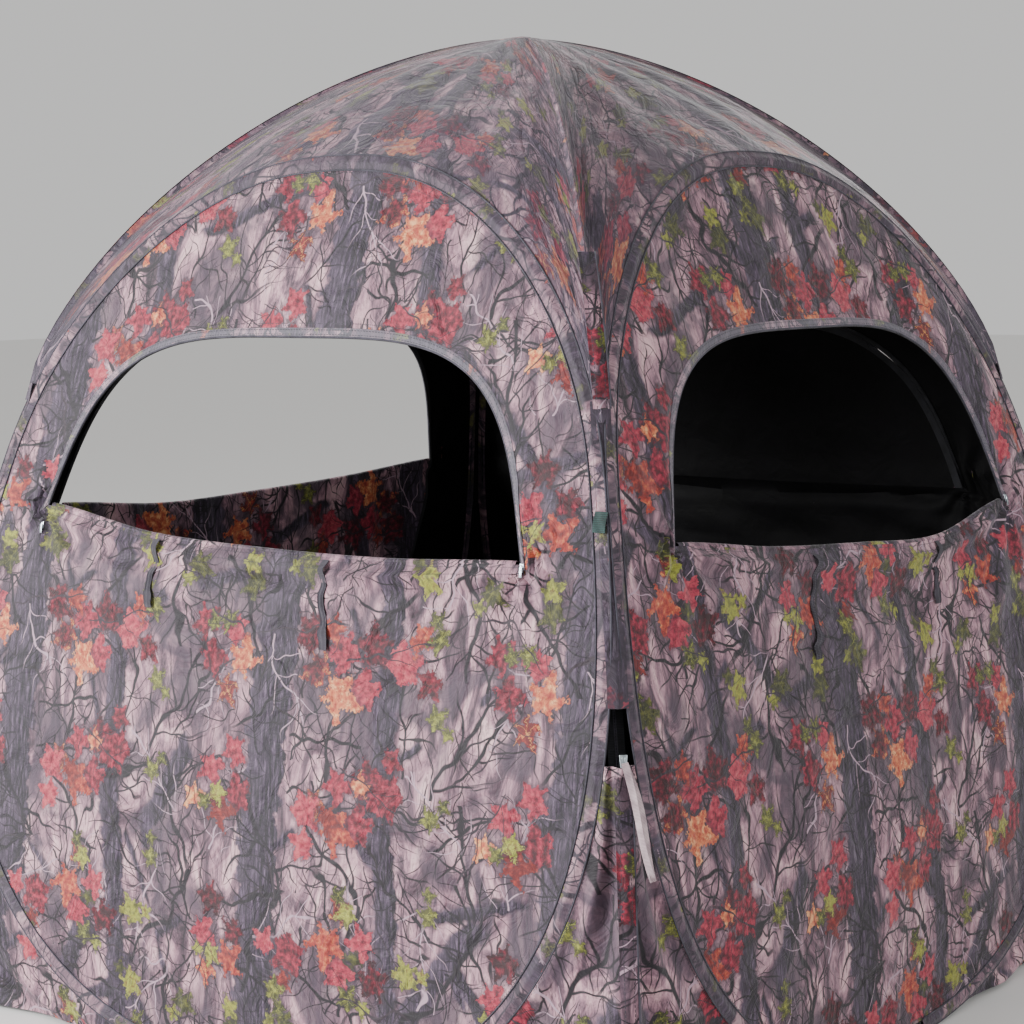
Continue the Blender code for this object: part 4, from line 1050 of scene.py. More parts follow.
# %% [markdown]
# ## Roof
# Four gores climb from the tops of the hoops to the crown, and their corners come down between
# neighbouring hoops. A hip rib rises fast and a middle rib slowly, and every rib between is a
# mix of the two, which makes one smooth dome without flat facets.
# %% Roof gores
HIP_SWELL = 1.75
HIP_SHOULDER = 1.45
CROWN_SWELL = 1.60
CROWN_SHOULDER = 1.00
CROWN_BLEND = 0.60
GORE_ROWS = 46
GORE_STEPS = 6               # columns in each station of the hoop
ROOF_START = hoop_station(1)[1]
ROOF_CORNER = wall_distance(ROOF_START)


def roof_point(across, depth, start, share, middle):
    swell = HIP_SWELL + (CROWN_SWELL - HIP_SWELL) * middle
    shoulder = HIP_SHOULDER + (CROWN_SHOULDER - HIP_SHOULDER) * middle
    rise = (1.0 - share ** swell) ** (1.0 / shoulder)
    return Vector((across * share, -depth * share, start + (ROOF_APEX - start) * rise))


def hip_distance(height):
    """Distance of the corner, or of the roof's hip above it, from the middle of the blind."""
    if height <= ROOF_START:
        return wall_distance(height)
    climbed = (height - ROOF_START) / (ROOF_APEX - ROOF_START)
    return ROOF_CORNER * (1.0 - climbed ** HIP_SHOULDER) ** (1.0 / HIP_SWELL)


def gore_columns():
    """Feet of the ribs along the eave, from the right corner to the left one."""
    columns = []
    count = (2 * TOP_STATIONS - 2) * GORE_STEPS
    for step in range(count + 1):
        across, height = hoop_station(1 + step / GORE_STEPS, SLEEVE_WIDTH / 2 - 0.003)
        columns.append((across, wall_distance(height), height))
    ends = [(sign * (ROOF_CORNER + (abs(columns[end][0]) - ROOF_CORNER) * share / 3), ROOF_CORNER, ROOF_START)
            for end, sign, shares in ((0, 1, (0, 1, 2)), (-1, -1, (2, 1, 0))) for share in shares]
    return ends[:3] + columns + ends[3:]


def make_gore(side):
    columns = gore_columns()
    seed = SIDES.index(side) * 4.7
    rows, places = [], []
    travel = [0.0] * len(columns)
    for row in range(GORE_ROWS + 1):
        share = 1.0 - 0.985 * (row / GORE_ROWS)
        points, flat = [], []
        for index, (across, depth, height) in enumerate(columns):
            middle = max(0.0, 1.0 - (across / ROOF_CORNER) ** 2) ** CROWN_BLEND
            point = roof_point(across, depth, height, share, middle)
            hip_gap = abs(abs(point.x) - abs(point.y))
            free = smooth(1.0 - share, 0.0, 0.10) * smooth(hip_gap, 0.0, 0.07) * smooth(share, 0.03, 0.2)
            soft = noise.fractal(Vector((point.x * 3.6, point.y * 3.6, seed)), 1.0, 2.0, 3) * 0.010
            pull = math.sin(math.atan2(point.x, -point.y) * 22.0) * 0.0022 * smooth(share, 0.1, 0.5)
            slack = noise.noise(Vector((point.x * 12.0, point.z * 7.0, seed))) * 0.004
            lift = Vector((point.x * 0.6, point.y * 0.6, 0.8)).normalized() * (soft + pull + slack) * free
            if rows:
                travel[index] += (point - bare[index]).length
            points.append(point + lift)
            flat.append((point.x, 1.5 + travel[index], travel[index], hip_gap * 0.7))
        bare = [roof_point(across, depth, height, share,
                           max(0.0, 1.0 - (across / ROOF_CORNER) ** 2) ** CROWN_BLEND)
                for across, depth, height in columns]
        rows.append(points)
        places.append(flat)
    # The gores take the roof cloth, darkened as painted shade.
    piece = sheet_of(f"roof_{side}", rows, Vector((0, -1, 1)), lambda r, c: places[r][c][:2],
                     lambda r, c: places[r][c][2:], (roof_cloth_painted_shade, black_coating))
    thicken(piece)
    turn_to(piece, SIDES.index(side))
    return piece


roof = {}
for side in SIDES:
    roof[side] = make_gore(side)
    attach(roof[side], "shell")
    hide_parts(f"roof_gore_{side}")
print("roof gores:", round(flat_size(roof["front"]), 3), "square metres each")

# %% [markdown]
# ## Corner gussets
# Below the waist two neighbouring walls part like an upturned V, and a triangle of cloth fills
# it down to the ground. It is cut full, so it hangs in upright folds. On the door's corner it
# is two halves with the zip between them.
# %% Gussets
GROUND_CORNER = 0.790
HEM_HEIGHT = 0.004
DOOR_GUSSET_STATION = 2
SEWN_GUSSET_STATION = 1
GUSSET_ROWS = 60
GUSSET_COLUMNS = 20


def gusset_line(height, top):
    share = max(0.0, (top - height) / (top - HEM_HEIGHT))
    return wall_distance(top) + (GROUND_CORNER - wall_distance(top)) * share


def gusset_half(top_station, seed, depth):
    """Rows of half a gusset, from the front wall's sleeve to its middle, with its folds."""
    top = hoop_station(-top_station)[1]
    foot = hoop_station(1 - TOP_STATIONS, SLEEVE_WIDTH / 2 - 0.003)[1]
    rows, places = [], []
    for row in range(GUSSET_ROWS + 1):
        station = top_station + (TOP_STATIONS - 1 - top_station) * row / GUSSET_ROWS
        across, height = hoop_station(-station, SLEEVE_WIDTH / 2 - 0.003)
        height = max(height, HEM_HEIGHT)
        level = HEM_HEIGHT + (height - foot) * (top - HEM_HEIGHT) / (top - foot)
        level = max(level, HEM_HEIGHT)
        edge = Vector((across, -wall_distance(height), height))
        reach = gusset_line(level, top)
        middle = Vector((reach, -reach, level))
        width = (middle - edge).length
        points, flat = [], []
        for column in range(GUSSET_COLUMNS + 1):
            share = column / GUSSET_COLUMNS
            point = edge.lerp(middle, share)
            bell = math.sin(math.pi * share) ** 0.7
            wander = noise.noise(Vector((point.z * 3.0, seed, 0.0))) * 0.8
            wave = math.sin((share * 2.6 + wander + seed) * math.pi) * 0.55
            wave += noise.noise(Vector((share * 5.0, point.z * 4.0, seed + 2.0))) * 0.8
            out = wave * bell * min(width * 0.17, 0.018) - bell * min(width * depth, 0.02)
            points.append(point + Vector((0.45, -1.0, 0.0)).normalized() * out)
            flat.append(((point.x + point.y) * 0.9, point.z, level, min(share, 1.0 - share) * width))
        rows.append(points)
        places.append(flat)
    return rows, places


def mirrored(rows):
    return [[Vector((-point.y, -point.x, point.z)) for point in row] for row in rows]


def gusset_piece(name, rows, places, outward):
    piece = sheet_of(name, rows, outward, lambda r, c: places[r][c][:2], lambda r, c: places[r][c][2:],
                     (gusset_cloth, black_coating))
    return thicken(piece)


for corner, corner_name in enumerate(CORNERS):
    top_station = SEWN_GUSSET_STATION if corner else DOOR_GUSSET_STATION
    left, left_places = gusset_half(top_station, corner * 1.7 + 0.3, 0.05)
    right, right_places = gusset_half(top_station, corner * 2.3 + 1.1, 0.05)
    right = mirrored(right)
    if corner == 0:
        made = [gusset_piece("gusset_door_left", left, left_places, Vector((0, -1, 0))),
                gusset_piece("gusset_door_right", right, right_places, Vector((1, 0, 0)))]
        nodes = [[f"gusset_{corner_name}_left"], [f"gusset_{corner_name}_right"]]
    else:
        rows = [a + b[-2::-1] for a, b in zip(left, right)]
        places = [a + [(-u, v, w, x) for u, v, w, x in b[-2::-1]] for a, b in zip(left_places, right_places)]
        made = [gusset_piece(f"gusset_sewn_{corner_name}", rows, places, Vector((1, -1, 0)))]
        nodes = [[f"gusset_{corner_name}"]]
    for piece, names in zip(made, nodes):
        turn_to(piece, corner)
        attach(piece, "shell")
        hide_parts(*names)

# %% [markdown]
# ## Crown patch
# Where the four gores meet, a round patch covers the crossing seams. It takes the dome's
# shape: rings of points run out from the middle and sit just above the roof.
# %% Crown patch
PATCH_RADIUS = 0.050
patch_low, patch_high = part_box("crown_patch")
rings = []
for share in (0.02, 0.3, 0.6, 0.85, 1.0):
    ring = []
    for step in range(49):
        angle = math.tau * step / 48
        drop = (0.0072 + 0.0040 * abs(math.cos(2.0 * angle))) * share ** 2
        ring.append(Vector((math.cos(angle) * PATCH_RADIUS * share, math.sin(angle) * PATCH_RADIUS * share,
                            patch_high[2] - 0.001 - drop)))
    rings.append(ring)
# The crown patch takes the roof cloth, darkened as painted shade.
crown = sheet_of("crown_round", rings, Vector((0, 0, 1)), lambda r, c: (rings[r][c].x + 0.2, rings[r][c].y),
                 lambda r, c: (c * PATCH_RADIUS * math.tau / 48, PATCH_RADIUS - rings[r][c].xy.length),
                 (roof_cloth_painted_shade,), closed=True)
thicken(crown, 0.0012)
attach(crown, "shell")
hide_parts("crown_patch")
print("crown patch", round(2 * PATCH_RADIUS * 1000), "mm across")

# %% [markdown]
# ## Corner seams
# Neighbouring hoops touch only at the waist. Above and below it a folded strip of the sleeve
# cloth joins them, sewn behind both sleeves. At the door it is the flap behind the zip, and
# it stops higher, which leaves a small wedge over the lower slider.
# %% Cloth between the hoops
def corner_place(distance, height, aside=0.0, out=0.0):
    """Point at the front right corner: aside along the corner's face, and out of the corner."""
    return Vector((distance, -distance, height)) + Vector((aside, aside, 0.0)) / math.sqrt(2) \
        + Vector((out, -out, 0.0)) / math.sqrt(2)


def make_corner_web(corner):
    """Strip of cloth behind the gap between two sleeves, with a fold along its middle."""
    low = DOOR_WEB_LOW if corner == 0 else hoop_station(-SEWN_GUSSET_STATION)[1] - 0.004
    heights = [low + (ROOF_START + 0.030 - low) * step / 40 for step in range(41)]
    rows = []
    for aside in (-0.015, -0.009, -0.004, 0.0, 0.004, 0.009, 0.015):
        depth = -0.0035 - 0.35 * abs(aside)
        rows.append([corner_place(hip_distance(height), height, aside, depth) for height in heights])
    # The web takes the sleeve cloth, whose darker mix is painted shade in the gap between the sleeves.
    web = sheet_of(f"corner_web_{CORNERS[corner]}", rows, Vector((1, -1, 0)),
                   lambda r, c: (r * 0.005, heights[c]), lambda r, c: (heights[c], abs(r - 3) * 0.005),
                   (sleeve_cloth_painted_shade, black_coating))
    thicken(web)
    turn_to(web, corner)
    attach(web, "shell")
    return web


DOOR_WEB_LOW = 0.672
corner_webs = [make_corner_web(corner) for corner in range(4)]
print("corner webs:", len(corner_webs), "up to", round(ROOF_START + 0.030, 3))

# %% [markdown]
# ## Door on the front right corner
# A zip runs up the inside of the corner, from the ground to well above the waist. Each half
# is a woven tape with a nylon coil along its edge: a cord whose thickness beats at the pitch
# of the teeth. Two cloth strips cover it from outside, one on the gusset and one over the top.
# %% Door zip
DOOR_TAPE_INSET = 0.030
DOOR_MEET = hoop_station(-DOOR_GUSSET_STATION)[1]
DOOR_FOOT, DOOR_HEAD = 0.020, 1.300
TOOTH_PITCH = 0.004          # drawn coarser than the real 2.5 mm


def door_distance(height):
    """Distance of the door zip from the middle: two straight runs that meet at the gusset's top."""
    low, middle = GROUND_CORNER, wall_distance(DOOR_MEET)
    if height < DOOR_MEET:
        return low + (middle - low) * (height - DOOR_FOOT) / (DOOR_MEET - DOOR_FOOT) - DOOR_TAPE_INSET
    share = (height - DOOR_MEET) / (DOOR_HEAD - DOOR_MEET)
    return middle + (hip_distance(DOOR_HEAD) - middle) * share - DOOR_TAPE_INSET


door_tapes = []
steps = round((DOOR_HEAD - DOOR_FOOT) / TOOTH_PITCH * 2)
heights = [DOOR_FOOT + (DOOR_HEAD - DOOR_FOOT) * step / steps for step in range(steps + 1)]
for hand, sign in (("left", -1), ("right", 1)):
    rows = [[corner_place(door_distance(height), height, sign * aside) for height in heights[::8]]
            for aside in (0.0016, 0.005, 0.0126)]
    tape = sheet_of(f"door_tape_{hand}", rows, Vector((1, -1, 0)), lambda r, c: (heights[::8][c], r * 0.006),
                    lambda r, c: (heights[::8][c], r * 0.006), (zip_tape,))
    thicken(tape, 0.0012)
    coil = tube_of(f"door_coil_{hand}", [corner_place(door_distance(height), height, sign * 0.0012)
                                         for height in heights], [0.0011, 0.0007], piping, sides=6)
    for part in (tape, coil):
        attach(part, "shell")
    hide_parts(f"door_zip_{hand}")
    door_tapes += [tape, coil]
print("door zip", round(DOOR_HEAD - DOOR_FOOT, 2), "m high,", steps // 2, "teeth")

# %% Storm strips over the zip
STORM_STANDOFF = 0.007
STORM_WIDTH = 0.026


def make_storm(name, low, high, line, node):
    """Strip of cloth over the zip, soft across, with a dark bound right edge that is partly painted shadow, standing in
    for the shadow line along the strip's edge.
    """
    count = 44
    levels = [low + (high - low) * step / count for step in range(count + 1)]
    rows = []
    for index in range(9):
        aside = (index / 8.0 - 0.5) * STORM_WIDTH
        rows.append([corner_place(line(height), height, aside, STORM_STANDOFF + 0.0018 * math.cos(aside / 0.0055)
                                  + 0.003 * noise.noise(Vector((height * 9.0, index * 0.3, low)))
                                  * smooth(height, low, low + 0.05)) for height in levels])
    strip = sheet_of(name, rows, Vector((1, -1, 0)), lambda r, c: (r * STORM_WIDTH / 8, levels[c]),
                     lambda r, c: (levels[c], min(r, 8 - r) * STORM_WIDTH / 8), (gusset_cloth, gusset_cloth))
    # The dark cord on the right edge is partly binding and partly painted shadow along the strip's edge.
    binding = tube_of(f"{name}_binding", rows[-1], 0.0013, piping, sides=6)
    thicken(strip, 0.0010)
    for part in (strip, binding):
        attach(part, "shell")
    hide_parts(node)
    return strip, binding


storm_lower = make_storm("storm_strip_lower", HEM_HEIGHT + 0.006, DOOR_MEET - 0.010,
                         lambda height: gusset_line(height, DOOR_MEET), "door_storm_lower")
storm_upper = make_storm("storm_strip_upper", ROOF_START + 0.020, DOOR_HEAD + 0.010, hip_distance,
                         "door_storm_upper")
print("storm strips", round(STORM_WIDTH * 1000), "mm wide")

# %% [markdown]
# ## Zip sliders
# A slider is a die-cast wedge with a bridge on its face, and a pull hangs from the bridge. It
# is modelled once by hand: a cube is shaped into the body, its face is inset and pulled out
# for the bridge, and everything is bevelled. The pull is a thin plate whose front and back are
# inset and bridged into a hole. Every zip then gets its own copy, at the place and lean of the
# simple slider of the frame.
# %% Model one slider
def select_faces(piece, test):
    """Select only the faces whose centre and normal pass a test, and go into edit mode."""
    select_only(piece)
    for polygon in piece.data.polygons:
        polygon.select = test(polygon.center, polygon.normal)
    for edge in piece.data.edges:
        edge.select = False
    for vertex in piece.data.vertices:
        vertex.select = False
    bpy.ops.object.mode_set(mode="EDIT")
    bpy.ops.mesh.select_mode(type="FACE")


def model_slider(width, depth, height):
    """Body with a bridge, modelled about the origin, its face towards -Y."""
    bpy.ops.mesh.primitive_cube_add(size=1.0)
    body = bpy.context.object
    select_faces(body, lambda centre, normal: True)
    bpy.ops.transform.resize(value=(width, depth * 0.5, height), center_override=(0.0, 0.0, 0.0))
    bpy.ops.object.mode_set(mode="OBJECT")
    select_faces(body, lambda centre, normal: normal.z < -0.5)
    bpy.ops.transform.resize(value=(0.72, 1.0, 1.0), center_override=(0.0, 0.0, -height / 2))
    bpy.ops.object.mode_set(mode="OBJECT")
    select_faces(body, lambda centre, normal: normal.y < -0.5)
    bpy.ops.mesh.inset(thickness=width * 0.3)
    bpy.ops.mesh.extrude_region_move(TRANSFORM_OT_translate={"value": (0.0, -depth * 0.25, 0.0)})
    bpy.ops.mesh.select_all(action="SELECT")
    bpy.ops.mesh.bevel(offset=width * 0.07, segments=2, affect="EDGES")
    bpy.ops.mesh.normals_make_consistent(inside=False)
    bpy.ops.object.mode_set(mode="OBJECT")
    return body


def model_pull(width, thickness, length):
    """Pull plate that hangs from the origin, with a hole at its top."""
    bpy.ops.mesh.primitive_cube_add(size=1.0)
    plate = bpy.context.object
    select_faces(plate, lambda centre, normal: True)
    bpy.ops.transform.resize(value=(width, thickness, length), center_override=(0.0, 0.0, 0.0))
    bpy.ops.transform.translate(value=(0.0, 0.0, -length / 2))
    bpy.ops.mesh.subdivide(number_cuts=2)
    bpy.ops.object.mode_set(mode="OBJECT")
    select_faces(plate, lambda centre, normal: abs(normal.y) > 0.5 and centre.z > -length * 0.34
                 and abs(centre.x) < width * 0.2)
    bpy.ops.mesh.inset(thickness=width * 0.04)
    bpy.ops.mesh.bridge_edge_loops()
    bpy.ops.object.mode_set(mode="OBJECT")
    bevel = plate.modifiers.new("Bevel", "BEVEL")
    bevel.width = thickness * 0.25
    bevel.segments = 2
    apply_modifiers(plate)
    return plate


def place_copy(model, name, matrix, material, body, node):
    """Copy of a modelled piece, put in place in its mesh."""
    copy = bpy.data.objects.new(name, model.data.copy())
    copy.data.transform(matrix)
    copy.data.materials.clear()
    copy.data.materials.append(material)
    bpy.context.scene.collection.objects.link(copy)
    select_only(copy)
    bpy.ops.object.shade_smooth_by_angle(angle=math.radians(40))
    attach(copy, body)
    if node:
        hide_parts(node)
    return copy


small_slider = model_slider(0.0085, 0.0060, 0.0130)
small_pull = model_pull(0.0046, 0.0012, 0.0150)
print("slider:", len(small_slider.data.polygons), "faces, pull:", len(small_pull.data.polygons))

# %% Sliders on the window zips
for side in SIDES:
    for number in (1, 2):
        node = f"window_slider_{side}_{number}"
        low, high = (Vector(corner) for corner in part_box(node))
        middle = (low + high) / 2
        normal = wall_normal(middle.z)
        lean = Matrix.Rotation(-math.atan2(normal.z, -normal.y), 4, "X")
        turn = Matrix.Rotation(SIDES.index(side) * math.pi / 2, 4, "Z")
        place = Matrix.Translation(middle) @ turn @ lean
        place_copy(small_slider, f"slider_{side}_{number}", place, nickel, "shell", node)
        hung = place @ Matrix.Translation((0.0, -0.0030, 0.001)) @ Matrix.Rotation(0.12, 4, "X")
        place_copy(small_pull, f"slider_pull_{side}_{number}", hung, nickel, "shell", None)
print("window sliders:", 2 * len(SIDES))


# %% Sliders and pull of the door
def corner_matrix(distance, height, lean=0.0):
    """Frame at the front right corner: X along the corner's face, -Y out of it."""
    spot = Matrix.Translation((distance, -distance, height))
    return spot @ Matrix.Rotation(math.pi / 4, 4, "Z") @ Matrix.Rotation(lean, 4, "X")


def middle_of(node):
    low, high = (Vector(corner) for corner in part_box(node))
    return (low + high) / 2


door_slider = model_slider(0.0120, 0.0060, 0.0180)
door_pull = model_pull(0.0080, 0.0018, 0.0310)
upper_lean = math.atan2((door_distance(DOOR_MEET) - door_distance(DOOR_HEAD)) * math.sqrt(2), DOOR_HEAD - DOOR_MEET)
splay = math.atan2((GROUND_CORNER - wall_distance(DOOR_MEET)) * math.sqrt(2), DOOR_MEET - HEM_HEIGHT)
upper_turn = Matrix.Rotation(math.pi * 1.25, 4, "Z") @ Matrix.Rotation(upper_lean, 4, "X")
lower_turn = Matrix.Rotation(math.pi / 4, 4, "Z") @ Matrix.Rotation(-splay, 4, "X")
place_copy(door_slider, "slider_door_upper", Matrix.Translation(middle_of("door_slider_upper")) @ upper_turn,
           nickel, "upper_slider", "door_slider_upper")
place_copy(door_slider, "slider_door_lower", Matrix.Translation(middle_of("door_slider_lower")) @ lower_turn,
           nickel, "lower_slider", "door_slider_lower")
pull_low, pull_high = (Vector(corner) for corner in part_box("door_pull_upper"))
pull_top = Vector(((pull_low.x + pull_high.x) / 2, (pull_low.y + pull_high.y) / 2, pull_high.z - 0.0005))
place_copy(door_pull, "pull_door_upper", Matrix.Translation(pull_top) @ Matrix.Rotation(math.pi / 4, 4, "Z"),
           nickel, "upper_pull", "door_pull_upper")
for model in (small_slider, small_pull, door_slider, door_pull):
    bpy.data.objects.remove(model, do_unlink=True)
print("door sliders lean", round(math.degrees(upper_lean), 1), "and", round(math.degrees(splay), 1), "degrees")

# %% [markdown]
# ## Ribbon on the lower slider
# A pale ribbon is sewn through the lower slider as a long loop, so that the zip can be found
# and pulled from either side. Its two legs twist a little on the way down.
# %% Ribbon loop
RIBBON_LENGTH = 0.172
RIBBON_WIDTH = 0.010
RIBBON_OPEN = 0.007
RIBBON_LEAN = math.radians(13.0)
ribbon_low, ribbon_high = (Vector(corner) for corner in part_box("door_ribbon"))
ribbon_joint = next(joint for joint in frame["joints"] if joint["name"] == "door_ribbon_swing")
ribbon_frame = Matrix.Translation(ribbon_joint["pos_m"]) @ lower_turn @ Matrix.Rotation(-RIBBON_LEAN, 4, "Y")


def ribbon_row(share):
    """Middle of the ribbon, and its turn, at a share of the way around the loop."""
    leg = share * 2.0 if share < 0.5 else 2.0 - share * 2.0
    side = -1.0 if share < 0.5 else 1.0
    gap = RIBBON_OPEN / 2 * math.sin(math.pi * min(1.0, leg * 1.02)) ** 0.5 * side
    sway = 0.0045 * side * math.sin(math.pi * leg) + 0.003 * math.sin(leg * 5.0)
    return Vector((sway, gap - 0.001, -0.002 - leg * (RIBBON_LENGTH - 0.004))), 0.75 * side * math.sin(leg * 2.6)


ribbon_rows = []
for step in range(97):
    middle, turn = ribbon_row(step / 96.0)
    across = Vector((math.cos(turn), math.sin(turn), 0.0)) * RIBBON_WIDTH / 2
    ribbon_rows.append([ribbon_frame @ (middle + across * place) for place in (-1.0, -0.5, 0.0, 0.5, 1.0)])
ribbon = sheet_of("ribbon_loop", ribbon_rows, Vector((1, -1, 0)), lambda r, c: (r * 0.0036, c * RIBBON_WIDTH / 4),
                  lambda r, c: (r * 0.0036, c * RIBBON_WIDTH / 4), (grosgrain,))
thicken(ribbon, 0.0008, 0.0)
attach(ribbon, "ribbon_pull")
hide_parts("door_ribbon")
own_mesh(ribbon)
print("ribbon", round(RIBBON_LENGTH * 1000), "mm long, doubled")

# %% [markdown]
# ## Webbing at the corners
# A stake tab is a doubled piece of webbing sewn under each corner, with a metal eyelet for
# the stake. On the front wall's sleeve a dark tab marks where the folded blind is tied.
# %% Stake tabs with eyelets
TAB_LENGTH = 0.055
TAB_WIDTH = 0.026
TAB_HOLE = 0.0065


def make_stake_tab(corner):
    """Webbing around a round hole, wavy and thin, and an eyelet turned around the hole."""
    low, high = (Vector(place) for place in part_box("stake_tab_front_right"))
    hole = Vector((0.8099, -0.8099, 0.0))
    rings = []
    for ring, share in enumerate((0.0, 0.25, 0.5, 0.75, 1.0)):
        row = []
        for step in range(49):
            angle = math.tau * step / 48
            arm = Vector((math.cos(angle), math.sin(angle), 0.0))
            edge = 1.0 / max(abs(arm.x), abs(arm.y))
            reach = TAB_LENGTH * (0.38 if arm.y > 0 else 0.62) - 0.001
            far = Vector((arm.x * edge * TAB_WIDTH / 2, arm.y * edge * reach, 0.0))
            spot = (arm * TAB_HOLE).lerp(far, share)
            row.append(hole + Vector((spot.x + spot.y, spot.x - spot.y, 0.0)) / math.sqrt(2)
                       + Vector((0.0, 0.0, 0.0026 + 0.0012 * math.sin(spot.y * 60.0) * share)))
        rings.append(row)
    tab = sheet_of(f"stake_webbing_{CORNERS[corner]}", rings, Vector((0, 0, 1)),
                   lambda r, c: ((rings[r][c] - hole).dot(Vector((1, -1, 0))) * 0.7, c * 0.002),
                   lambda r, c: (c * 0.003, r * 0.003), (strap_webbing,), closed=True)
    thicken(tab, 0.0018)
    turn_to(tab, corner)
    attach(tab, "shell")
    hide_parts(f"stake_tab_{CORNERS[corner]}")
    bpy.ops.mesh.primitive_torus_add(location=hole + Vector((0, 0, 0.0024)), major_radius=TAB_HOLE + 0.0014,
                                     minor_radius=0.0019, major_segments=36, minor_segments=12)
    eyelet = bpy.context.object
    bpy.ops.object.transform_apply(location=True, rotation=True, scale=True)
    select_faces(eyelet, lambda centre, normal: True)
    bpy.ops.transform.resize(value=(1.0, 1.0, 0.75), center_override=(hole.x, hole.y, 0.0024))
    bpy.ops.object.mode_set(mode="OBJECT")
    bpy.ops.object.shade_smooth()
    eyelet.name = f"eyelet_{CORNERS[corner]}"
    eyelet.data.materials.append(brass)
    turn_to(eyelet, corner)
    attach(eyelet, "shell")
    return tab


stake_tabs = [make_stake_tab(corner) for corner in range(4)]
print("stake tabs:", len(stake_tabs))

# %% Tie tab on the front sleeve
tab_low, tab_high = (Vector(corner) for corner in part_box("door_tab"))
tab_rows = []
for row in range(9):
    height = tab_low.z + (tab_high.z - tab_low.z) * row / 8
    tab_rows.append([wall_point(tab_low.x + (tab_high.x - tab_low.x) * step / 8, height,
                                0.0052 + 0.0012 * math.sin(math.pi * row / 8) + 0.0007 * math.sin(step * 0.9 + row * 0.5))
                     for step in range(9)])
tie_tab = sheet_of("tie_tab", tab_rows, Vector((0, -1, 0)), lambda r, c: (r * 0.0037, c * 0.0027),
                   lambda r, c: (r * 0.0037, c * 0.0027), (webbing,))
thicken(tie_tab, 0.0014)
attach(tie_tab, "shell")
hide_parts("door_tab")
print("tie tab", [round(value, 4) for value in tab_high - tab_low])

# %% [markdown]
# ## Straps below the sills
# A dropped window is rolled and tied by thin straps of the same cloth, which hang down the
# wall when not in use. Each is a narrow strip that follows the wall's folds, gathered at its
# lower end.
# %% Straps
STRAP_WIDTH = 0.013
STRAPS = {                   # across at the top and at the foot, and height at the foot
    "front": ((0.145, 0.165, 0.702), (-0.235, -0.225, 0.735)),
    "right": ((-0.150, -0.200, 0.665), (0.245, 0.225, 0.700)),
    "back": ((-0.180, -0.172, 0.690), (0.190, 0.205, 0.700)),
    "left": ((-0.170, -0.180, 0.680), (0.180, 0.168, 0.712)),
}


def lie_on_wall(side, across, height, out):
    """Point on the folded wall below the sill."""
    return wall_point(across, height, billow(side, across, height) + out)


def make_strap(side, number, top, foot, low):
    """A thin strap that hangs down the wall, with a wider gathered keeper at its foot."""
    rows = []
    high = sill_height(side, top) - 0.004
    for step in range(41):
        share = step / 40
        height = high + (low - high) * share
        across = top + (foot - top) * share + 0.001 * math.sin(share * 9.0 + number * 2.0)
        width = STRAP_WIDTH * (1.0 + 0.55 * smooth(share, 0.74, 0.80) - 0.25 * smooth(share, 0.86, 0.92))
        curl = 0.0012 + 0.0015 * math.sin(share * 14.0 + number) ** 2 + 0.003 * smooth(share, 0.70, 0.82)
        rows.append([lie_on_wall(side, across + place * width / 2, height,
                                 curl + 0.0010 * math.cos(place * 5.0) * smooth(share, 0.1, 0.3))
                     for place in (-1.0, -0.6, -0.2, 0.2, 0.6, 1.0)])
    strap = sheet_of(f"strap_{side}_{number}", rows, Vector((0, -1, 0)), lambda r, c: (r * 0.004, c * 0.002),
                     lambda r, c: (r * 0.004, c * 0.002), (strap_webbing,))
    thicken(strap, 0.0010)
    turn_to(strap, SIDES.index(side))
    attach(strap, "shell")
    return strap


for side, places in STRAPS.items():
    [make_strap(side, number, *place) for number, place in enumerate(places)]

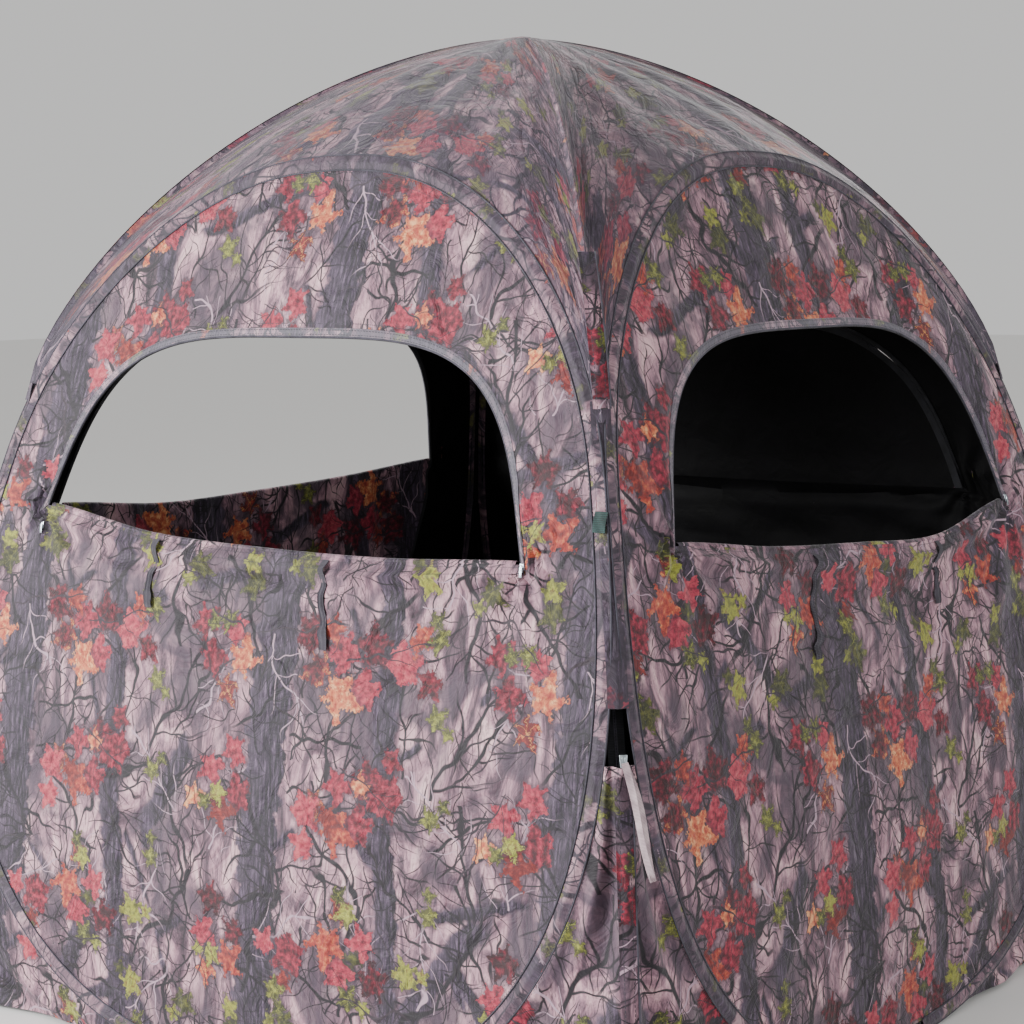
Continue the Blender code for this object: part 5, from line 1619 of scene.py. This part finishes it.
# %% [markdown]
# ## View, light and floor
# The camera stands off the front right corner at eye height with a long lens. The light is
# soft and comes mostly from the left, so the front wall is the brighter one.
# %% Camera
YAW, PITCH, ROLL = math.radians(38.134), math.radians(-4.7255), math.radians(-0.846)
lens = bpy.data.cameras.new("View")
lens.lens = 80.56
lens.shift_x = -0.0151
lens.shift_y = -0.0615
camera = bpy.data.objects.new("View", lens)
ahead = Vector((-math.sin(YAW) * math.cos(PITCH), math.cos(YAW) * math.cos(PITCH), math.sin(PITCH)))
level = Vector((math.cos(YAW), math.sin(YAW), 0.0))
above = level.cross(ahead)
rolled = level * math.cos(ROLL) + above * math.sin(ROLL)
upright = above * math.cos(ROLL) - level * math.sin(ROLL)
camera.matrix_world = Matrix.Translation((2.578, -3.284, 1.2995)) @ Matrix((rolled, upright, -ahead)).transposed().to_4x4()
bpy.context.scene.collection.objects.link(camera)
bpy.context.scene.camera = camera
print("camera", [round(value, 3) for value in camera.location])


# %% Lights and surroundings
def soft_light(name, place, aim, size, watts):
    lamp = bpy.data.lights.new(name, "AREA")
    lamp.energy = watts
    lamp.size = size
    holder = bpy.data.objects.new(name, lamp)
    holder.location = place
    holder.rotation_euler = (Vector(aim) - Vector(place)).to_track_quat("-Z", "Y").to_euler()
    bpy.context.scene.collection.objects.link(holder)


soft_light("Main softbox", (-2.9, -5.0, 2.3), (0.0, 0.0, 0.8), 2.2, 690.0)
soft_light("Fill softbox", (5.2, 0.2, 1.9), (0.0, 0.0, 0.9), 3.0, 92.0)
soft_light("Back softbox", (-1.6, 5.2, 3.0), (0.0, 0.0, 1.0), 3.0, 200.0)
sky = bpy.data.worlds.new("Pale studio")
sky.use_nodes = True
sky.node_tree.nodes["Background"].inputs["Color"].default_value = colour("#f2f1f0")
sky.node_tree.nodes["Background"].inputs["Strength"].default_value = 0.78
bpy.context.scene.world = sky

floor_mesh = bpy.data.meshes.new("Floor")
floor_mesh.from_pydata([(-30, -30, 0), (30, -30, 0), (30, 30, 0), (-30, 30, 0)], [], [(0, 1, 2, 3)])
floor = bpy.data.objects.new("Floor", floor_mesh)
bpy.context.scene.collection.objects.link(floor)
floor_material, floor_tree, floor_shader = new_material("Pale studio floor", 0.85)
floor_shader.inputs["Base Color"].default_value = colour("#e9e8e6")
floor.data.materials.append(floor_material)
